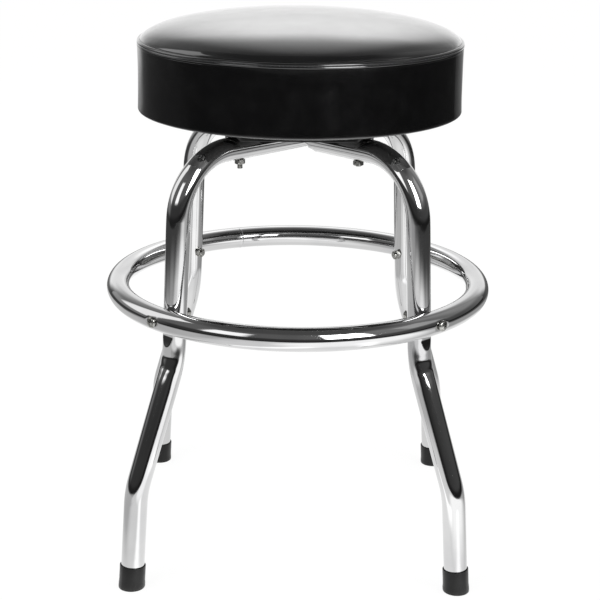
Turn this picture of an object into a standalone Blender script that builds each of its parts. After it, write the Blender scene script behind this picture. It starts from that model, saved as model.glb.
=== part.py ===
"""A padded round stool that swivels on four bent tube legs with a foot ring.

Metres, +Z up. The seat's axis is Z, the floor is Z = 0, the front is -Y and the left is -X.
"""

import math
from collections import namedtuple

import bmesh
import bpy
from mathutils import Matrix, Vector

# Shared by all pieces
GAP = 0.0003  # between faces that touch
OVERRUN = 0.004  # how far a cutter reaches past what it cuts
MERGE_DISTANCE = 0.00001
CORNERS = {
    "front_left": Vector((-1, -1, 0)),
    "front_right": Vector((1, -1, 0)),
    "back_left": Vector((-1, 1, 0)),
    "back_right": Vector((1, 1, 0)),
}

# Tube of the hoops and of the foot ring
TUBE_RADIUS = 0.0127
TUBE_WALL = 0.0015
TUBE_SIDES = 12

# One leg in its hoop's plane: reach from the stool's axis, and height
FOOT_REACH = 0.2495
LOWER_KNEE_REACH = 0.2405
LOWER_KNEE_HEIGHT = 0.110
LOWER_KNEE_RADIUS = 0.090
UPPER_KNEE_BELOW_RING = 0.049
UPPER_KNEE_RADIUS = 0.130
SHOULDER_REACH = 0.174
SHOULDER_RADIUS = 0.068
HOOP_HEIGHT = 0.464  # centre of the level tube under the seat
KNEE_PRESS_LENGTH = 0.030  # each way from the middle of the upper knee
SHOULDER_PRESS_LENGTH = 0.062
KNEE_PRESS_SHARES = (0.86, 1.13)  # across the bend, and out of its plane
SHOULDER_PRESS_SHARES = (0.92, 1.05)

# The crossing, where each hoop is pressed flat to its half of the height
CROSSING_ROOM = 0.0013  # beside the tube that crosses
CROSSING_BLEND = 0.016  # from the flat to the round tube
CROSSING_STEPS = 3

# Foot ring
RING_RADIUS = 0.2032  # centre line
RING_HEIGHT = 0.295
SADDLE_BITE = 0.0051  # how far the ring is pressed onto a leg
RING_STEPS = 10  # in each quarter, between the saddles
SADDLE_GAP = 0.0005  # round the leg, for the ring's straight facets
SADDLE_SHARES = (-0.92, -0.5, 0, 0.5, 0.92)  # of the tube's radius
DIMPLE_DEPTH = 0.001  # under a screw head
DIMPLE_FLAT = 0.0065
DIMPLE_BLEND = 0.006

# Foot caps
CAP_WALL = 0.00105
CAP_FLARE = 0.0004
CAP_HEIGHT = 0.026
CAP_FLOOR = 0.0045
CAP_ROUND = 0.0007

# Fasteners, all M6 but the seat screws
BOLT_RADIUS = 0.003
BOLT_HOLE_GAP = 0.0003
HEAD_RADIUS = 0.006
HEAD_HEIGHT = 0.0042
HEAD_RIM = 0.0016  # height of the head's straight side
NUT_FLATS = 0.010  # across the flats
NUT_HEIGHT = 0.005
RECESS_WIDTH = 0.0012
RECESS_LENGTH = 0.0062
RECESS_DEPTH = 0.0022
FASTENER_STEPS = 12
HOLE_STEPS = 10
RING_SCREW_END = 0.002  # past the nut
PLATE_BOLT_HEAD = 0.0035
PLATE_BOLT_PLACE = 0.0635  # from the axis along X and along Y
PLATE_BOLT_ENDS = {"front_left": 0.005, "front_right": 0.0012, "back_left": 0.0012, "back_right": 0.0012}

# Swivel plates
PLATE_HALF = 0.0794
PLATE_THICKNESS = 0.002
PLATE_CORNER = 0.012
FLANGE_DEPTH = 0.0036  # below the plate
FLANGE_THICKNESS = 0.0018
FLANGE_END = 0.0174  # from the plate's corner to the flange's end, which clears the tube
PLATE_SPACE = 0.0159  # between the plates
CORNER_STEPS = 4

# Ball race, pressed into both plates
BALL_CIRCLE = 0.052
BALL_RADIUS = 0.004
BALL_COUNT = 11
GROOVE_ANGLE = math.radians(25)  # how far below the balls' centres the groove's lips lie
RIDGE_WIDTH = 0.0018
RACE_SLOPE = 0.0036
RACE_STEPS = 30
RACE_GAP = 0.0005  # round the balls, for the groove's straight facets
GROOVE_STEPS = 4
CAGE_THICKNESS = 0.0012
CAGE_HALF_WIDTH = 0.0062

# Rolled collar of the lower plate, over the dished centre of the upper one
COLLAR_RADIUS = 0.032
COLLAR_WALL = 0.0015
LIP_WIDTH = 0.0045
LIP_THICKNESS = 0.0015
COLLAR_GAP = 0.0006
LIP_GAP = 0.0004
DISH_DEPTH = 0.0035
DISH_WALL = 0.002  # how far the dish's wall leans out
LIP_ROOM = 0.0025  # from the lip's edge to the dish's wall

# Seat screws
SEAT_SCREW_RADIUS = 0.0024
SEAT_SCREW_HEAD_RADIUS = 0.0045
SEAT_SCREW_HEAD = 0.0025
SEAT_SCREW_RIM = 0.0008
SEAT_SCREW_BITE = 0.0105  # in the board

# Seat
SEAT_RADIUS = 0.1775
SEAT_STEPS = 36
SIDE_HEIGHT = 0.0737  # from the seat's underside to the middle of the welt
SIDE_DRAW = 0.0006  # how far the side is drawn in at half its height
SIDE_ROUND = 0.005
UNDER_REACH = 0.150  # inner edge of the vinyl folded under the board
VINYL = 0.0012
CROWN_HEIGHT = 0.0324  # above the middle of the welt
CROWN_STEPS = 7
WELT_RADIUS = 0.0031
WELT_STAND = 0.0008  # how far the welt stands out of the side
WELT_SIDES = 6
BOARD_THICKNESS = 0.015
SEAM_ANGLES = (math.radians(135), math.radians(168))  # where the cover's turned-in edge follows the welt
BOARD_ROUND_STEPS = 2
SIDE_ROUND_STEPS = 2

# Heights and lengths that follow
TUBE_TOP = HOOP_HEIGHT + TUBE_RADIUS
LOWER_PLATE_BOTTOM = TUBE_TOP + GAP
LOWER_PLATE_TOP = LOWER_PLATE_BOTTOM + PLATE_THICKNESS
UPPER_PLATE_BOTTOM = LOWER_PLATE_TOP + PLATE_SPACE
UPPER_PLATE_TOP = UPPER_PLATE_BOTTOM + PLATE_THICKNESS
BALL_HEIGHT = (LOWER_PLATE_TOP + UPPER_PLATE_BOTTOM) / 2
BOARD_BOTTOM = UPPER_PLATE_TOP + GAP
BOARD_TOP = BOARD_BOTTOM + BOARD_THICKNESS
SEAT_BOTTOM = BOARD_BOTTOM - GAP - VINYL
WELT_HEIGHT = SEAT_BOTTOM + SIDE_HEIGHT
CROSSING_FLAT = TUBE_RADIUS + CROSSING_ROOM  # each way from the axis

# Radii that follow
LEG_REACH_AT_RING = RING_RADIUS + SADDLE_BITE - 2 * TUBE_RADIUS
BOLT_HOLE = BOLT_RADIUS + BOLT_HOLE_GAP
BOARD_RADIUS = SEAT_RADIUS - VINYL - GAP
WELT_REACH = SEAT_RADIUS + WELT_STAND - WELT_RADIUS
SEAM_RADIUS = WELT_RADIUS + GAP



def leg_reach(height):
    """Reach of the leg's centre line from the upper knee, past the ring's seat, to the shoulder."""
    share = (height - RING_HEIGHT) / (HOOP_HEIGHT - RING_HEIGHT)
    return LEG_REACH_AT_RING + (SHOULDER_REACH - LEG_REACH_AT_RING) * share


UPPER_KNEE_HEIGHT = RING_HEIGHT - UPPER_KNEE_BELOW_RING
UPPER_KNEE_REACH = leg_reach(UPPER_KNEE_HEIGHT)

Bend = namedtuple("Bend", "reach height radius steps press_length press_shares")
Station = namedtuple("Station", "point normal across spread")

UNPRESSED_SHARES = (1, 1)
BENDS = (
    Bend(LOWER_KNEE_REACH, LOWER_KNEE_HEIGHT, LOWER_KNEE_RADIUS, 2, KNEE_PRESS_LENGTH, UNPRESSED_SHARES),
    Bend(UPPER_KNEE_REACH, UPPER_KNEE_HEIGHT, UPPER_KNEE_RADIUS, 4, KNEE_PRESS_LENGTH, KNEE_PRESS_SHARES),
    Bend(SHOULDER_REACH, HOOP_HEIGHT, SHOULDER_RADIUS, 6, SHOULDER_PRESS_LENGTH, SHOULDER_PRESS_SHARES),
)


def clear_scene():
    for obj in list(bpy.data.objects):
        bpy.data.objects.remove(obj)


def new_collection(name):
    collection = bpy.data.collections.new(name)
    bpy.context.scene.collection.children.link(collection)
    return collection


def new_material(name, colour, roughness, metallic):
    material = bpy.data.materials.new(name)
    material.use_nodes = True
    shader = material.node_tree.nodes["Principled BSDF"]
    shader.inputs["Base Color"].default_value = (*colour, 1)
    shader.inputs["Roughness"].default_value = roughness
    shader.inputs["Metallic"].default_value = metallic
    return material


clear_scene()
STOOL = new_collection("guitar_stool")
CUTTERS = new_collection("cutters")
CHROME = new_material("chromed_tube", (0.80, 0.80, 0.81), 0.08, 1)
ZINC = new_material("zinc_plated_fastener", (0.62, 0.62, 0.60), 0.30, 1)
PLATE_PAINT = new_material("black_painted_plate", (0.03, 0.03, 0.03), 0.45, 0)
BALL_STEEL = new_material("bearing_steel", (0.56, 0.57, 0.58), 0.20, 1)
CAP_RUBBER = new_material("black_cap_rubber", (0.02, 0.02, 0.02), 0.50, 0)
PLYWOOD = new_material("plywood", (0.55, 0.38, 0.22), 0.70, 0)
FOAM = new_material("cushion_foam", (0.80, 0.74, 0.55), 0.95, 0)
BLACK_VINYL = new_material("black_vinyl", (0.012, 0.012, 0.012), 0.30, 0)


def new_axis(name, height):
    """An empty on the stool's axis, for the pieces that turn together."""
    axis = bpy.data.objects.new(name, None)
    axis.location = (0, 0, height)
    STOOL.objects.link(axis)
    return axis


FRAME = new_axis("frame", 0)
CAGE_AXIS = new_axis("cage_roll", BALL_HEIGHT)
SEAT_AXIS = new_axis("seat_swivel", BALL_HEIGHT)


def new_part(name, mesh, material, carrier, location=(0, 0, 0), rotation=None):
    """A named piece, placed in the world and parented to the empty that carries it."""
    part = bpy.data.objects.new(name, mesh)
    STOOL.objects.link(part)
    mesh.materials.clear()
    mesh.materials.append(material)
    placed = Matrix.Translation(location)
    if rotation:
        placed = placed @ rotation.to_4x4()
    part.parent = carrier
    part.matrix_parent_inverse = Matrix.Translation(-carrier.location)
    part.matrix_basis = placed
    return part


def new_cutter(name, mesh, location=(0, 0, 0), rotation=None):
    cutter = bpy.data.objects.new(name, mesh)
    CUTTERS.objects.link(cutter)
    cutter.location = location
    if rotation:
        cutter.rotation_euler = rotation.to_euler()
    cutter.hide_render = True
    cutter.display_type = "WIRE"
    return cutter


def combine(part, other, operation="DIFFERENCE"):
    boolean = part.modifiers.new(other.name, "BOOLEAN")
    boolean.operation = operation
    boolean.object = other
    boolean.solver = "EXACT"


def smooth(mesh):
    for face in mesh.polygons:
        face.use_smooth = True
    return mesh


def cylinder(name, radius, length, steps):
    """A closed cylinder along Z, centred on the origin."""
    mesh = bpy.data.meshes.new(name)
    build = bmesh.new()
    bmesh.ops.create_cone(
        build, cap_ends=True, segments=steps, radius1=radius, radius2=radius, depth=length
    )
    build.to_mesh(mesh)
    build.free()
    return mesh


def box(name, size, centre=(0, 0, 0)):
    mesh = bpy.data.meshes.new(name)
    build = bmesh.new()
    bmesh.ops.create_cube(build, size=1)
    bmesh.ops.scale(build, vec=size, verts=build.verts)
    bmesh.ops.translate(build, vec=centre, verts=build.verts)
    build.to_mesh(mesh)
    build.free()
    return mesh


def rounded_square(name, half, corner, bottom, top):
    """A flat square block with rounded upright corners."""
    mesh = box(name, (2 * half, 2 * half, top - bottom), (0, 0, (bottom + top) / 2))
    build = bmesh.new()
    build.from_mesh(mesh)
    upright = [edge for edge in build.edges if abs(edge.verts[0].co.z - edge.verts[1].co.z) > GAP]
    bmesh.ops.bevel(build, geom=upright, offset=corner, segments=CORNER_STEPS, affect="EDGES", profile=0.5)
    build.to_mesh(mesh)
    build.free()
    return mesh


def profile_mesh(name, points, closed):
    """A profile in the XZ plane for a Screw modifier. It runs down its outer side."""
    edges = [(i, i + 1) for i in range(len(points) - 1)]
    if closed:
        edges.append((len(points) - 1, 0))
    mesh = bpy.data.meshes.new(name)
    mesh.from_pydata([(reach, 0, height) for reach, height in points], edges, [])
    return mesh


def turn(part, steps):
    screw = part.modifiers.new("turned", "SCREW")
    screw.steps = steps
    screw.render_steps = steps
    screw.use_merge_vertices = True
    screw.merge_threshold = MERGE_DISTANCE
    screw.use_smooth_shade = True


def thicken(part, wall):
    solidify = part.modifiers.new("wall", "SOLIDIFY")
    solidify.thickness = wall
    solidify.offset = -1
    solidify.use_even_offset = True
    solidify.use_quality_normals = True


def arc(centre, radius, start, end, steps):
    """Points of a circle's arc, from one angle to another."""
    angles = [start + (end - start) * i / steps for i in range(steps + 1)]
    return [(centre[0] + radius * math.cos(a), centre[1] + radius * math.sin(a)) for a in angles]


def tube_mesh(name, points, cyclic):
    """The outer skin of a tube along the points, open at both ends."""
    curve = bpy.data.curves.new(name, "CURVE")
    curve.dimensions = "3D"
    curve.twist_mode = "MINIMUM"
    curve.bevel_depth = TUBE_RADIUS
    curve.bevel_resolution = (TUBE_SIDES - 4) // 2
    spline = curve.splines.new("POLY")
    spline.points.add(len(points) - 1)
    for knot, point in zip(spline.points, points):
        knot.co = (*point, 1)
    spline.use_cyclic_u = cyclic
    guide = bpy.data.objects.new(name, curve)
    CUTTERS.objects.link(guide)
    graph = bpy.context.evaluated_depsgraph_get()
    mesh = bpy.data.meshes.new_from_object(guide.evaluated_get(graph))
    bpy.data.objects.remove(guide)
    bpy.data.curves.remove(curve)
    return smooth(mesh)


# Hoops


def foot_direction():
    """Up along the leg from the foot, in the hoop's plane."""
    return Vector((LOWER_KNEE_REACH - FOOT_REACH, 0, LOWER_KNEE_HEIGHT)).normalized()


def swell(distance, length, shares):
    """The section's two shares at a distance along the tube from the middle of a bend."""
    if distance >= length:
        return UNPRESSED_SHARES
    weight = math.cos(math.pi / 2 * distance / length) ** 2
    return tuple(1 + (share - 1) * weight for share in shares)


def bend_stations(before, bend, after):
    """Stations round one bend between two straight runs."""
    corner = Vector((bend.reach, 0, bend.height))
    come = (corner - before).normalized()
    leave = (after - corner).normalized()
    turning = come.angle(leave)
    side = (leave - come * come.dot(leave)).normalized()
    start = corner - come * bend.radius * math.tan(turning / 2)
    centre = start + side * bend.radius
    found = []
    for i in range(bend.steps + 1):
        angle = turning * i / bend.steps
        out = come * math.sin(angle) - side * math.cos(angle)
        distance = bend.radius * abs(angle - turning / 2)
        across, spread = swell(distance, bend.press_length, bend.press_shares)
        found.append(Station(centre + out * bend.radius, out, across, spread))
    return found


def leg_stations():
    """Stations of one leg, from its foot at +X up to the end of its shoulder."""
    foot = Vector((FOOT_REACH, 0, 0))
    end = foot + foot_direction() * (CAP_FLOOR + GAP)
    corners = [foot] + [Vector((b.reach, 0, b.height)) for b in BENDS] + [Vector((0, 0, HOOP_HEIGHT))]
    found = [Station(end, Vector((1, 0, 0)), 1, 1)]
    for i, bend in enumerate(BENDS):
        found += bend_stations(corners[i], bend, corners[i + 2])
    return found


def crossing_stations():
    """Stations of the level tube on the +X side of the crossing, from outside to inside."""
    distances = [CROSSING_FLAT + CROSSING_BLEND * i / CROSSING_STEPS for i in range(CROSSING_STEPS, -1, -1)]
    return [Station(Vector((d, 0, HOOP_HEIGHT)), Vector((0, 0, 1)), 1, 1) for d in distances]


def mirrored(station):
    flip = Vector((-1, 1, 1))
    return Station(station.point * flip, station.normal * flip, station.across, station.spread)


def press_section(vertex, stations):
    """Flattens the tube's section across a bend and widens it out of the bend's plane."""
    station = min(stations, key=lambda s: (s.point - vertex.co).length)
    depth = (vertex.co - station.point).dot(station.normal)
    vertex.co += station.normal * depth * (station.across - 1)
    vertex.co.y *= station.spread


def press_crossing(vertex, side):
    """Presses one half of the tube flat at the crossing: its top with side 1, its underside with side -1."""
    height = (vertex.co.z - HOOP_HEIGHT) * side
    outward = abs(vertex.co.x) - CROSSING_FLAT
    if outward >= CROSSING_BLEND:
        return
    share = max(0, outward / CROSSING_BLEND)
    round_share = share * share * (3 - 2 * share)
    limit = (TUBE_RADIUS + GAP / 2) * round_share - GAP / 2
    if height <= limit:
        return
    vertex.co.z = HOOP_HEIGHT + side * limit
    angle = math.atan2(height, abs(vertex.co.y))
    flat = TUBE_RADIUS * (1 - angle / (math.pi / 2))
    width = abs(vertex.co.y) * round_share + flat * (1 - round_share)
    vertex.co.y = math.copysign(width, vertex.co.y)


def make_hoop(name, turned_by, pressed_side, cutters):
    half = leg_stations() + crossing_stations()
    stations = half + [mirrored(station) for station in reversed(half)]
    mesh = tube_mesh(name, [station.point for station in stations], False)
    for vertex in mesh.vertices:
        press_section(vertex, stations)
        press_crossing(vertex, pressed_side)
    hoop = new_part(name, mesh, CHROME, FRAME, rotation=Matrix.Rotation(turned_by, 3, "Z"))
    thicken(hoop, TUBE_WALL)
    for cutter in cutters:
        combine(hoop, cutter)
    return hoop


# Foot ring


def ring_angles():
    """Angles of the ring's sections, close together at the saddles."""
    angles = []
    for quarter in range(4):
        middle = math.radians(45 + 90 * quarter)
        shares = [math.asin(TUBE_RADIUS * share / RING_RADIUS) for share in SADDLE_SHARES]
        angles += [middle + angle for angle in shares]
        free = math.radians(90) - 2 * shares[-1]
        angles += [middle + shares[-1] + free * i / RING_STEPS for i in range(1, RING_STEPS)]
    return angles


def press_ring(vertex):
    """Presses the saddle round each leg and the dimple under each screw head."""
    outward = Vector((math.copysign(1, vertex.co.x), math.copysign(1, vertex.co.y), 0)).normalized()
    sideways = Vector((-outward.y, outward.x, 0))
    reach = vertex.co.dot(outward)
    aside = vertex.co.dot(sideways)
    height = vertex.co.z
    hollow = TUBE_RADIUS + SADDLE_GAP
    if abs(aside) < hollow:
        saddle = leg_reach(height) + math.sqrt(hollow**2 - aside**2)
        if reach < saddle:
            vertex.co += outward * (saddle - reach)
            return
    from_screw = math.hypot(aside, height - RING_HEIGHT)
    share = max(0, (from_screw - DIMPLE_FLAT) / DIMPLE_BLEND)
    limit = RING_RADIUS + TUBE_RADIUS - DIMPLE_DEPTH * (1 - share)
    if share < 1 and reach > limit:
        vertex.co -= outward * (reach - limit)


def make_foot_ring(cutters):
    points = [
        (RING_RADIUS * math.cos(a), RING_RADIUS * math.sin(a), RING_HEIGHT) for a in ring_angles()
    ]
    mesh = tube_mesh("foot_ring", points, True)
    for vertex in mesh.vertices:
        press_ring(vertex)
    ring = new_part("foot_ring", mesh, CHROME, FRAME)
    thicken(ring, TUBE_WALL)
    for cutter in cutters:
        combine(ring, cutter)


# Foot caps


def make_foot_cap(corner, side, floor_cutter):
    """A cup on the tube's end, cut flat where it stands on the floor."""
    bore = TUBE_RADIUS + GAP
    outer = bore + CAP_WALL
    flared = outer + CAP_FLARE
    profile = [
        (0, CAP_FLOOR),
        (bore, CAP_FLOOR),
        (bore, CAP_HEIGHT),
        (outer - CAP_ROUND / 2, CAP_HEIGHT),
        (outer, CAP_HEIGHT - CAP_ROUND),
        (outer, CAP_FLOOR + CAP_FLOOR),
        (flared, CAP_FLOOR / 2),
        (flared, -OVERRUN),
        (0, -OVERRUN),
    ]
    outward = side.normalized()
    lean = math.atan2(FOOT_REACH - LOWER_KNEE_REACH, LOWER_KNEE_HEIGHT)
    heading = math.atan2(outward.y, outward.x)
    rotation = Matrix.Rotation(heading, 3, "Z") @ Matrix.Rotation(-lean, 3, "Y")
    name = "foot_cap_" + corner
    cap = new_part(
        name, profile_mesh(name, profile, False), CAP_RUBBER, FRAME, outward * FOOT_REACH, rotation
    )
    turn(cap, TUBE_SIDES)
    combine(cap, floor_cutter)


# Fasteners


def screw_profile(head_radius, head_height, rim, radius, length):
    """A domed head above Z = 0 and a plain shank below it."""
    rise = head_height - rim
    shoulder = head_radius - rise / 2
    return [
        (0, head_height),
        (shoulder / 2, head_height - rise / 12),
        (shoulder, head_height - rise / 3),
        (head_radius, rim),
        (head_radius, 0),
        (radius, 0),
        (radius, -length),
        (0, -length),
    ]


def make_screw(name, profile, carrier, location, rotation):
    screw = new_part(name, profile_mesh(name, profile, False), ZINC, carrier, location, rotation)
    turn(screw, FASTENER_STEPS)
    return screw


def cut_cross_recess(screw, head_height, location, rotation):
    """Two crossed slots in the top of the head."""
    depth = RECESS_DEPTH + OVERRUN
    middle = head_height - RECESS_DEPTH + depth / 2
    for label, size in (
        ("a", (RECESS_LENGTH, RECESS_WIDTH, depth)),
        ("b", (RECESS_WIDTH, RECESS_LENGTH, depth)),
    ):
        name = "recess_" + label + "_" + screw.name
        combine(screw, new_cutter(name, box(name, size, (0, 0, middle)), location, rotation))


def make_nut(name, location, rotation, hole):
    """A hexagon nut whose face at Z = 0 bears on the tube and whose body lies below."""
    corner_radius = NUT_FLATS / 2 / math.cos(math.radians(30))
    mesh = cylinder(name, corner_radius, NUT_HEIGHT, steps=6)
    mesh.transform(Matrix.Translation((0, 0, -NUT_HEIGHT / 2)))
    nut = new_part(name, mesh, ZINC, FRAME, location, rotation)
    combine(nut, hole)


def facing(outward):
    """The rotation that points local Z outward along a level direction, with local Y upright."""
    up = Vector((0, 0, 1))
    return Matrix((up.cross(outward), up, outward)).transposed()


def make_ring_fasteners(corner, side, hole):
    outward = side.normalized()
    turned = facing(outward)
    nut_corner = NUT_FLATS / 2 / math.cos(math.radians(30))
    head_seat = RING_RADIUS + TUBE_RADIUS - DIMPLE_DEPTH + GAP
    leg_inside = min(leg_reach(RING_HEIGHT + nut_corner), leg_reach(RING_HEIGHT - nut_corner))
    nut_face = leg_inside - TUBE_RADIUS - GAP
    length = head_seat - nut_face + NUT_HEIGHT + RING_SCREW_END
    head_place = outward * head_seat + Vector((0, 0, RING_HEIGHT))
    profile = screw_profile(HEAD_RADIUS, HEAD_HEIGHT, HEAD_RIM, BOLT_RADIUS, length)
    screw = make_screw("ring_screw_" + corner, profile, FRAME, head_place, turned)
    cut_cross_recess(screw, HEAD_HEIGHT, head_place, turned)
    nut_place = outward * nut_face + Vector((0, 0, RING_HEIGHT))
    make_nut("ring_nut_" + corner, nut_place, turned, hole)


def make_plate_fasteners(corner, side, hole):
    place = side * PLATE_BOLT_PLACE
    head_seat = LOWER_PLATE_TOP + GAP
    nut_face = HOOP_HEIGHT - TUBE_RADIUS - GAP
    length = head_seat - nut_face + NUT_HEIGHT + PLATE_BOLT_ENDS[corner]
    profile = screw_profile(HEAD_RADIUS, PLATE_BOLT_HEAD, HEAD_RIM, BOLT_RADIUS, length)
    heading = math.atan2(side.y, side.x)
    turned = Matrix.Rotation(heading, 3, "Z")
    make_screw("plate_bolt_" + corner, profile, FRAME, place + Vector((0, 0, head_seat)), turned)
    make_nut("plate_nut_" + corner, place + Vector((0, 0, nut_face)), turned, hole)


def make_seat_screw(corner, side):
    """A wood screw driven up through the upper plate into the board."""
    place = side * PLATE_BOLT_PLACE + Vector((0, 0, UPPER_PLATE_BOTTOM - GAP))
    length = GAP + PLATE_THICKNESS + GAP + SEAT_SCREW_BITE
    profile = screw_profile(
        SEAT_SCREW_HEAD_RADIUS, SEAT_SCREW_HEAD, SEAT_SCREW_RIM, SEAT_SCREW_RADIUS, length
    )
    make_screw("seat_screw_" + corner, profile, SEAT_AXIS, place, Matrix.Rotation(math.pi, 3, "X"))


# Swivel


def flip(points):
    """The profile mirrored about the balls' centres, still running down its outer side."""
    return [(reach, 2 * BALL_HEIGHT - height) for reach, height in reversed(points)]


def groove():
    """Top of the lower race from its inner edge outward: a ridge, the balls' groove and a ridge."""
    below = math.pi + GROOVE_ANGLE
    beside = 2 * math.pi - GROOVE_ANGLE
    inside = arc((BALL_CIRCLE, BALL_HEIGHT), BALL_RADIUS + RACE_GAP, below, beside, GROOVE_STEPS)
    ridge = inside[0][1]
    return [(inside[0][0] - RIDGE_WIDTH, ridge), *inside, (inside[-1][0] + RIDGE_WIDTH, ridge)]


def race_hollow(floor, edge_height):
    """Underside of the lower race, from its outer edge to its inner one."""
    depth = BALL_HEIGHT - BALL_RADIUS - RACE_GAP - PLATE_THICKNESS
    ridge_reach = (BALL_RADIUS + RACE_GAP) * math.cos(GROOVE_ANGLE)
    return [
        (BALL_CIRCLE + ridge_reach + RACE_SLOPE, edge_height),
        (BALL_CIRCLE + ridge_reach, depth),
        (BALL_CIRCLE - ridge_reach, depth),
        (BALL_CIRCLE - ridge_reach - RACE_SLOPE, floor),
    ]


def race_edges():
    """Inner and outer reach of the race's foot, on the plate's face."""
    half = (BALL_RADIUS + RACE_GAP) * math.cos(GROOVE_ANGLE) + RIDGE_WIDTH + RACE_SLOPE
    return BALL_CIRCLE - half, BALL_CIRCLE + half


def lower_race_profile():
    """Collar, level centre, race and the foot that joins the square plate."""
    inner, outer = race_edges()
    inside_plate = LOWER_PLATE_BOTTOM + PLATE_THICKNESS / 2
    collar_top = collar_heights()[1]
    lip_reach = COLLAR_RADIUS + LIP_WIDTH
    return [
        (lip_reach, collar_top),
        (lip_reach, collar_top - LIP_THICKNESS),
        (COLLAR_RADIUS, collar_top - LIP_THICKNESS),
        (COLLAR_RADIUS, LOWER_PLATE_TOP),
        (inner, LOWER_PLATE_TOP),
        *groove(),
        (outer, LOWER_PLATE_TOP),
        (outer, inside_plate),
        *race_hollow(LOWER_PLATE_BOTTOM, inside_plate),
        (COLLAR_RADIUS - COLLAR_WALL, LOWER_PLATE_BOTTOM),
        (COLLAR_RADIUS - COLLAR_WALL, collar_top),
    ]


def collar_heights():
    """Height of the dish's upper face, and of the top of the lip above it."""
    dish = UPPER_PLATE_TOP - DISH_DEPTH
    return dish, dish + LIP_GAP + LIP_THICKNESS


def upper_race_profile():
    """The lower race mirrored, with a dished centre that the collar's lip holds down."""
    inner, outer = race_edges()
    inside_plate = UPPER_PLATE_TOP - PLATE_THICKNESS / 2
    dish = collar_heights()[0]
    hole = COLLAR_RADIUS + COLLAR_GAP
    dish_reach = COLLAR_RADIUS + LIP_WIDTH + LIP_ROOM
    hollow = flip(race_hollow(LOWER_PLATE_BOTTOM, 2 * BALL_HEIGHT - inside_plate))
    return [
        (hole, dish),
        (dish_reach, dish),
        (dish_reach + DISH_WALL, UPPER_PLATE_TOP),
        *hollow,
        (outer, inside_plate),
        (outer, UPPER_PLATE_BOTTOM),
        *flip(groove()),
        (inner, UPPER_PLATE_BOTTOM),
        (dish_reach + DISH_WALL, UPPER_PLATE_BOTTOM),
        (dish_reach + DISH_WALL / 2, dish - PLATE_THICKNESS),
        (hole, dish - PLATE_THICKNESS),
    ]


def add_race(plate, name, profile, bottom, top):
    """Opens the square plate's middle and joins the turned race to it."""
    opening = race_edges()[1] - RACE_SLOPE / 2
    depth = top - bottom + 2 * OVERRUN
    mesh = cylinder("opening_" + name, opening, depth, steps=RACE_STEPS)
    combine(plate, new_cutter("opening_" + name, mesh, (0, 0, (bottom + top) / 2)))
    race = new_cutter("race_" + name, profile_mesh("race_" + name, profile, True))
    turn(race, RACE_STEPS)
    combine(plate, race, "UNION")


def make_lower_plate(bolt_holes):
    """A square pressing with its edges turned down between the tubes."""
    name = "swivel_lower_plate"
    skirt_bottom = LOWER_PLATE_BOTTOM - FLANGE_DEPTH
    mesh = rounded_square(name, PLATE_HALF, PLATE_CORNER, skirt_bottom, LOWER_PLATE_TOP)
    plate = new_part(name, mesh, PLATE_PAINT, FRAME)
    pan = rounded_square(
        "pan_inside",
        PLATE_HALF - FLANGE_THICKNESS,
        PLATE_CORNER - FLANGE_THICKNESS,
        skirt_bottom - OVERRUN,
        LOWER_PLATE_BOTTOM,
    )
    combine(plate, new_cutter("pan_inside", pan))
    notch_height = FLANGE_DEPTH + OVERRUN
    notch = 2 * FLANGE_END
    for corner, side in CORNERS.items():
        mesh = box("notch_" + corner, (notch, notch, notch_height))
        place = side * PLATE_HALF + Vector((0, 0, LOWER_PLATE_BOTTOM - notch_height / 2))
        combine(plate, new_cutter("notch_" + corner, mesh, place))
    add_race(plate, name, lower_race_profile(), LOWER_PLATE_BOTTOM, LOWER_PLATE_TOP)
    for hole in bolt_holes.values():
        combine(plate, hole)


def make_upper_plate(screw_holes):
    name = "swivel_upper_plate"
    mesh = rounded_square(name, PLATE_HALF, PLATE_CORNER, UPPER_PLATE_BOTTOM, UPPER_PLATE_TOP)
    plate = new_part(name, mesh, PLATE_PAINT, SEAT_AXIS)
    add_race(plate, name, upper_race_profile(), UPPER_PLATE_BOTTOM, UPPER_PLATE_TOP)
    for hole in screw_holes.values():
        combine(plate, hole)


def make_ball_cage():
    """A flat ring that holds the balls apart, with the balls in it."""
    half = CAGE_THICKNESS / 2
    near = BALL_CIRCLE - CAGE_HALF_WIDTH
    far = BALL_CIRCLE + CAGE_HALF_WIDTH
    profile = [
        (near, BALL_HEIGHT + half),
        (far, BALL_HEIGHT + half),
        (far, BALL_HEIGHT - half),
        (near, BALL_HEIGHT - half),
    ]
    name = "swivel_ball_cage"
    cage = new_part(name, profile_mesh(name, profile, True), BALL_STEEL, CAGE_AXIS)
    turn(cage, RACE_STEPS)
    balls = bpy.data.meshes.new("balls")
    build = bmesh.new()
    for i in range(BALL_COUNT):
        around = Matrix.Rotation(2 * math.pi * (i + 0.5) / BALL_COUNT, 4, "Z")
        place = around @ Matrix.Translation((BALL_CIRCLE, 0, 0))
        bmesh.ops.create_uvsphere(build, u_segments=8, v_segments=6, radius=BALL_RADIUS, matrix=place)
    build.to_mesh(balls)
    build.free()
    combine(cage, new_cutter("balls", balls, (0, 0, BALL_HEIGHT)), "UNION")


# Seat


def make_board(pilot_holes):
    """Round plywood board, its lower edge rounded for the vinyl that goes round it."""
    rounding = SIDE_ROUND - VINYL - GAP
    centre = (BOARD_RADIUS - rounding, BOARD_BOTTOM + rounding)
    profile = [
        (0, BOARD_TOP),
        (BOARD_RADIUS, BOARD_TOP),
        *arc(centre, rounding, 0, -math.pi / 2, BOARD_ROUND_STEPS),
        (0, BOARD_BOTTOM),
    ]
    board = new_part("seat_board", profile_mesh("seat_board", profile, False), PLYWOOD, SEAT_AXIS)
    turn(board, SEAT_STEPS)
    for hole in pilot_holes.values():
        combine(board, hole)


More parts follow.
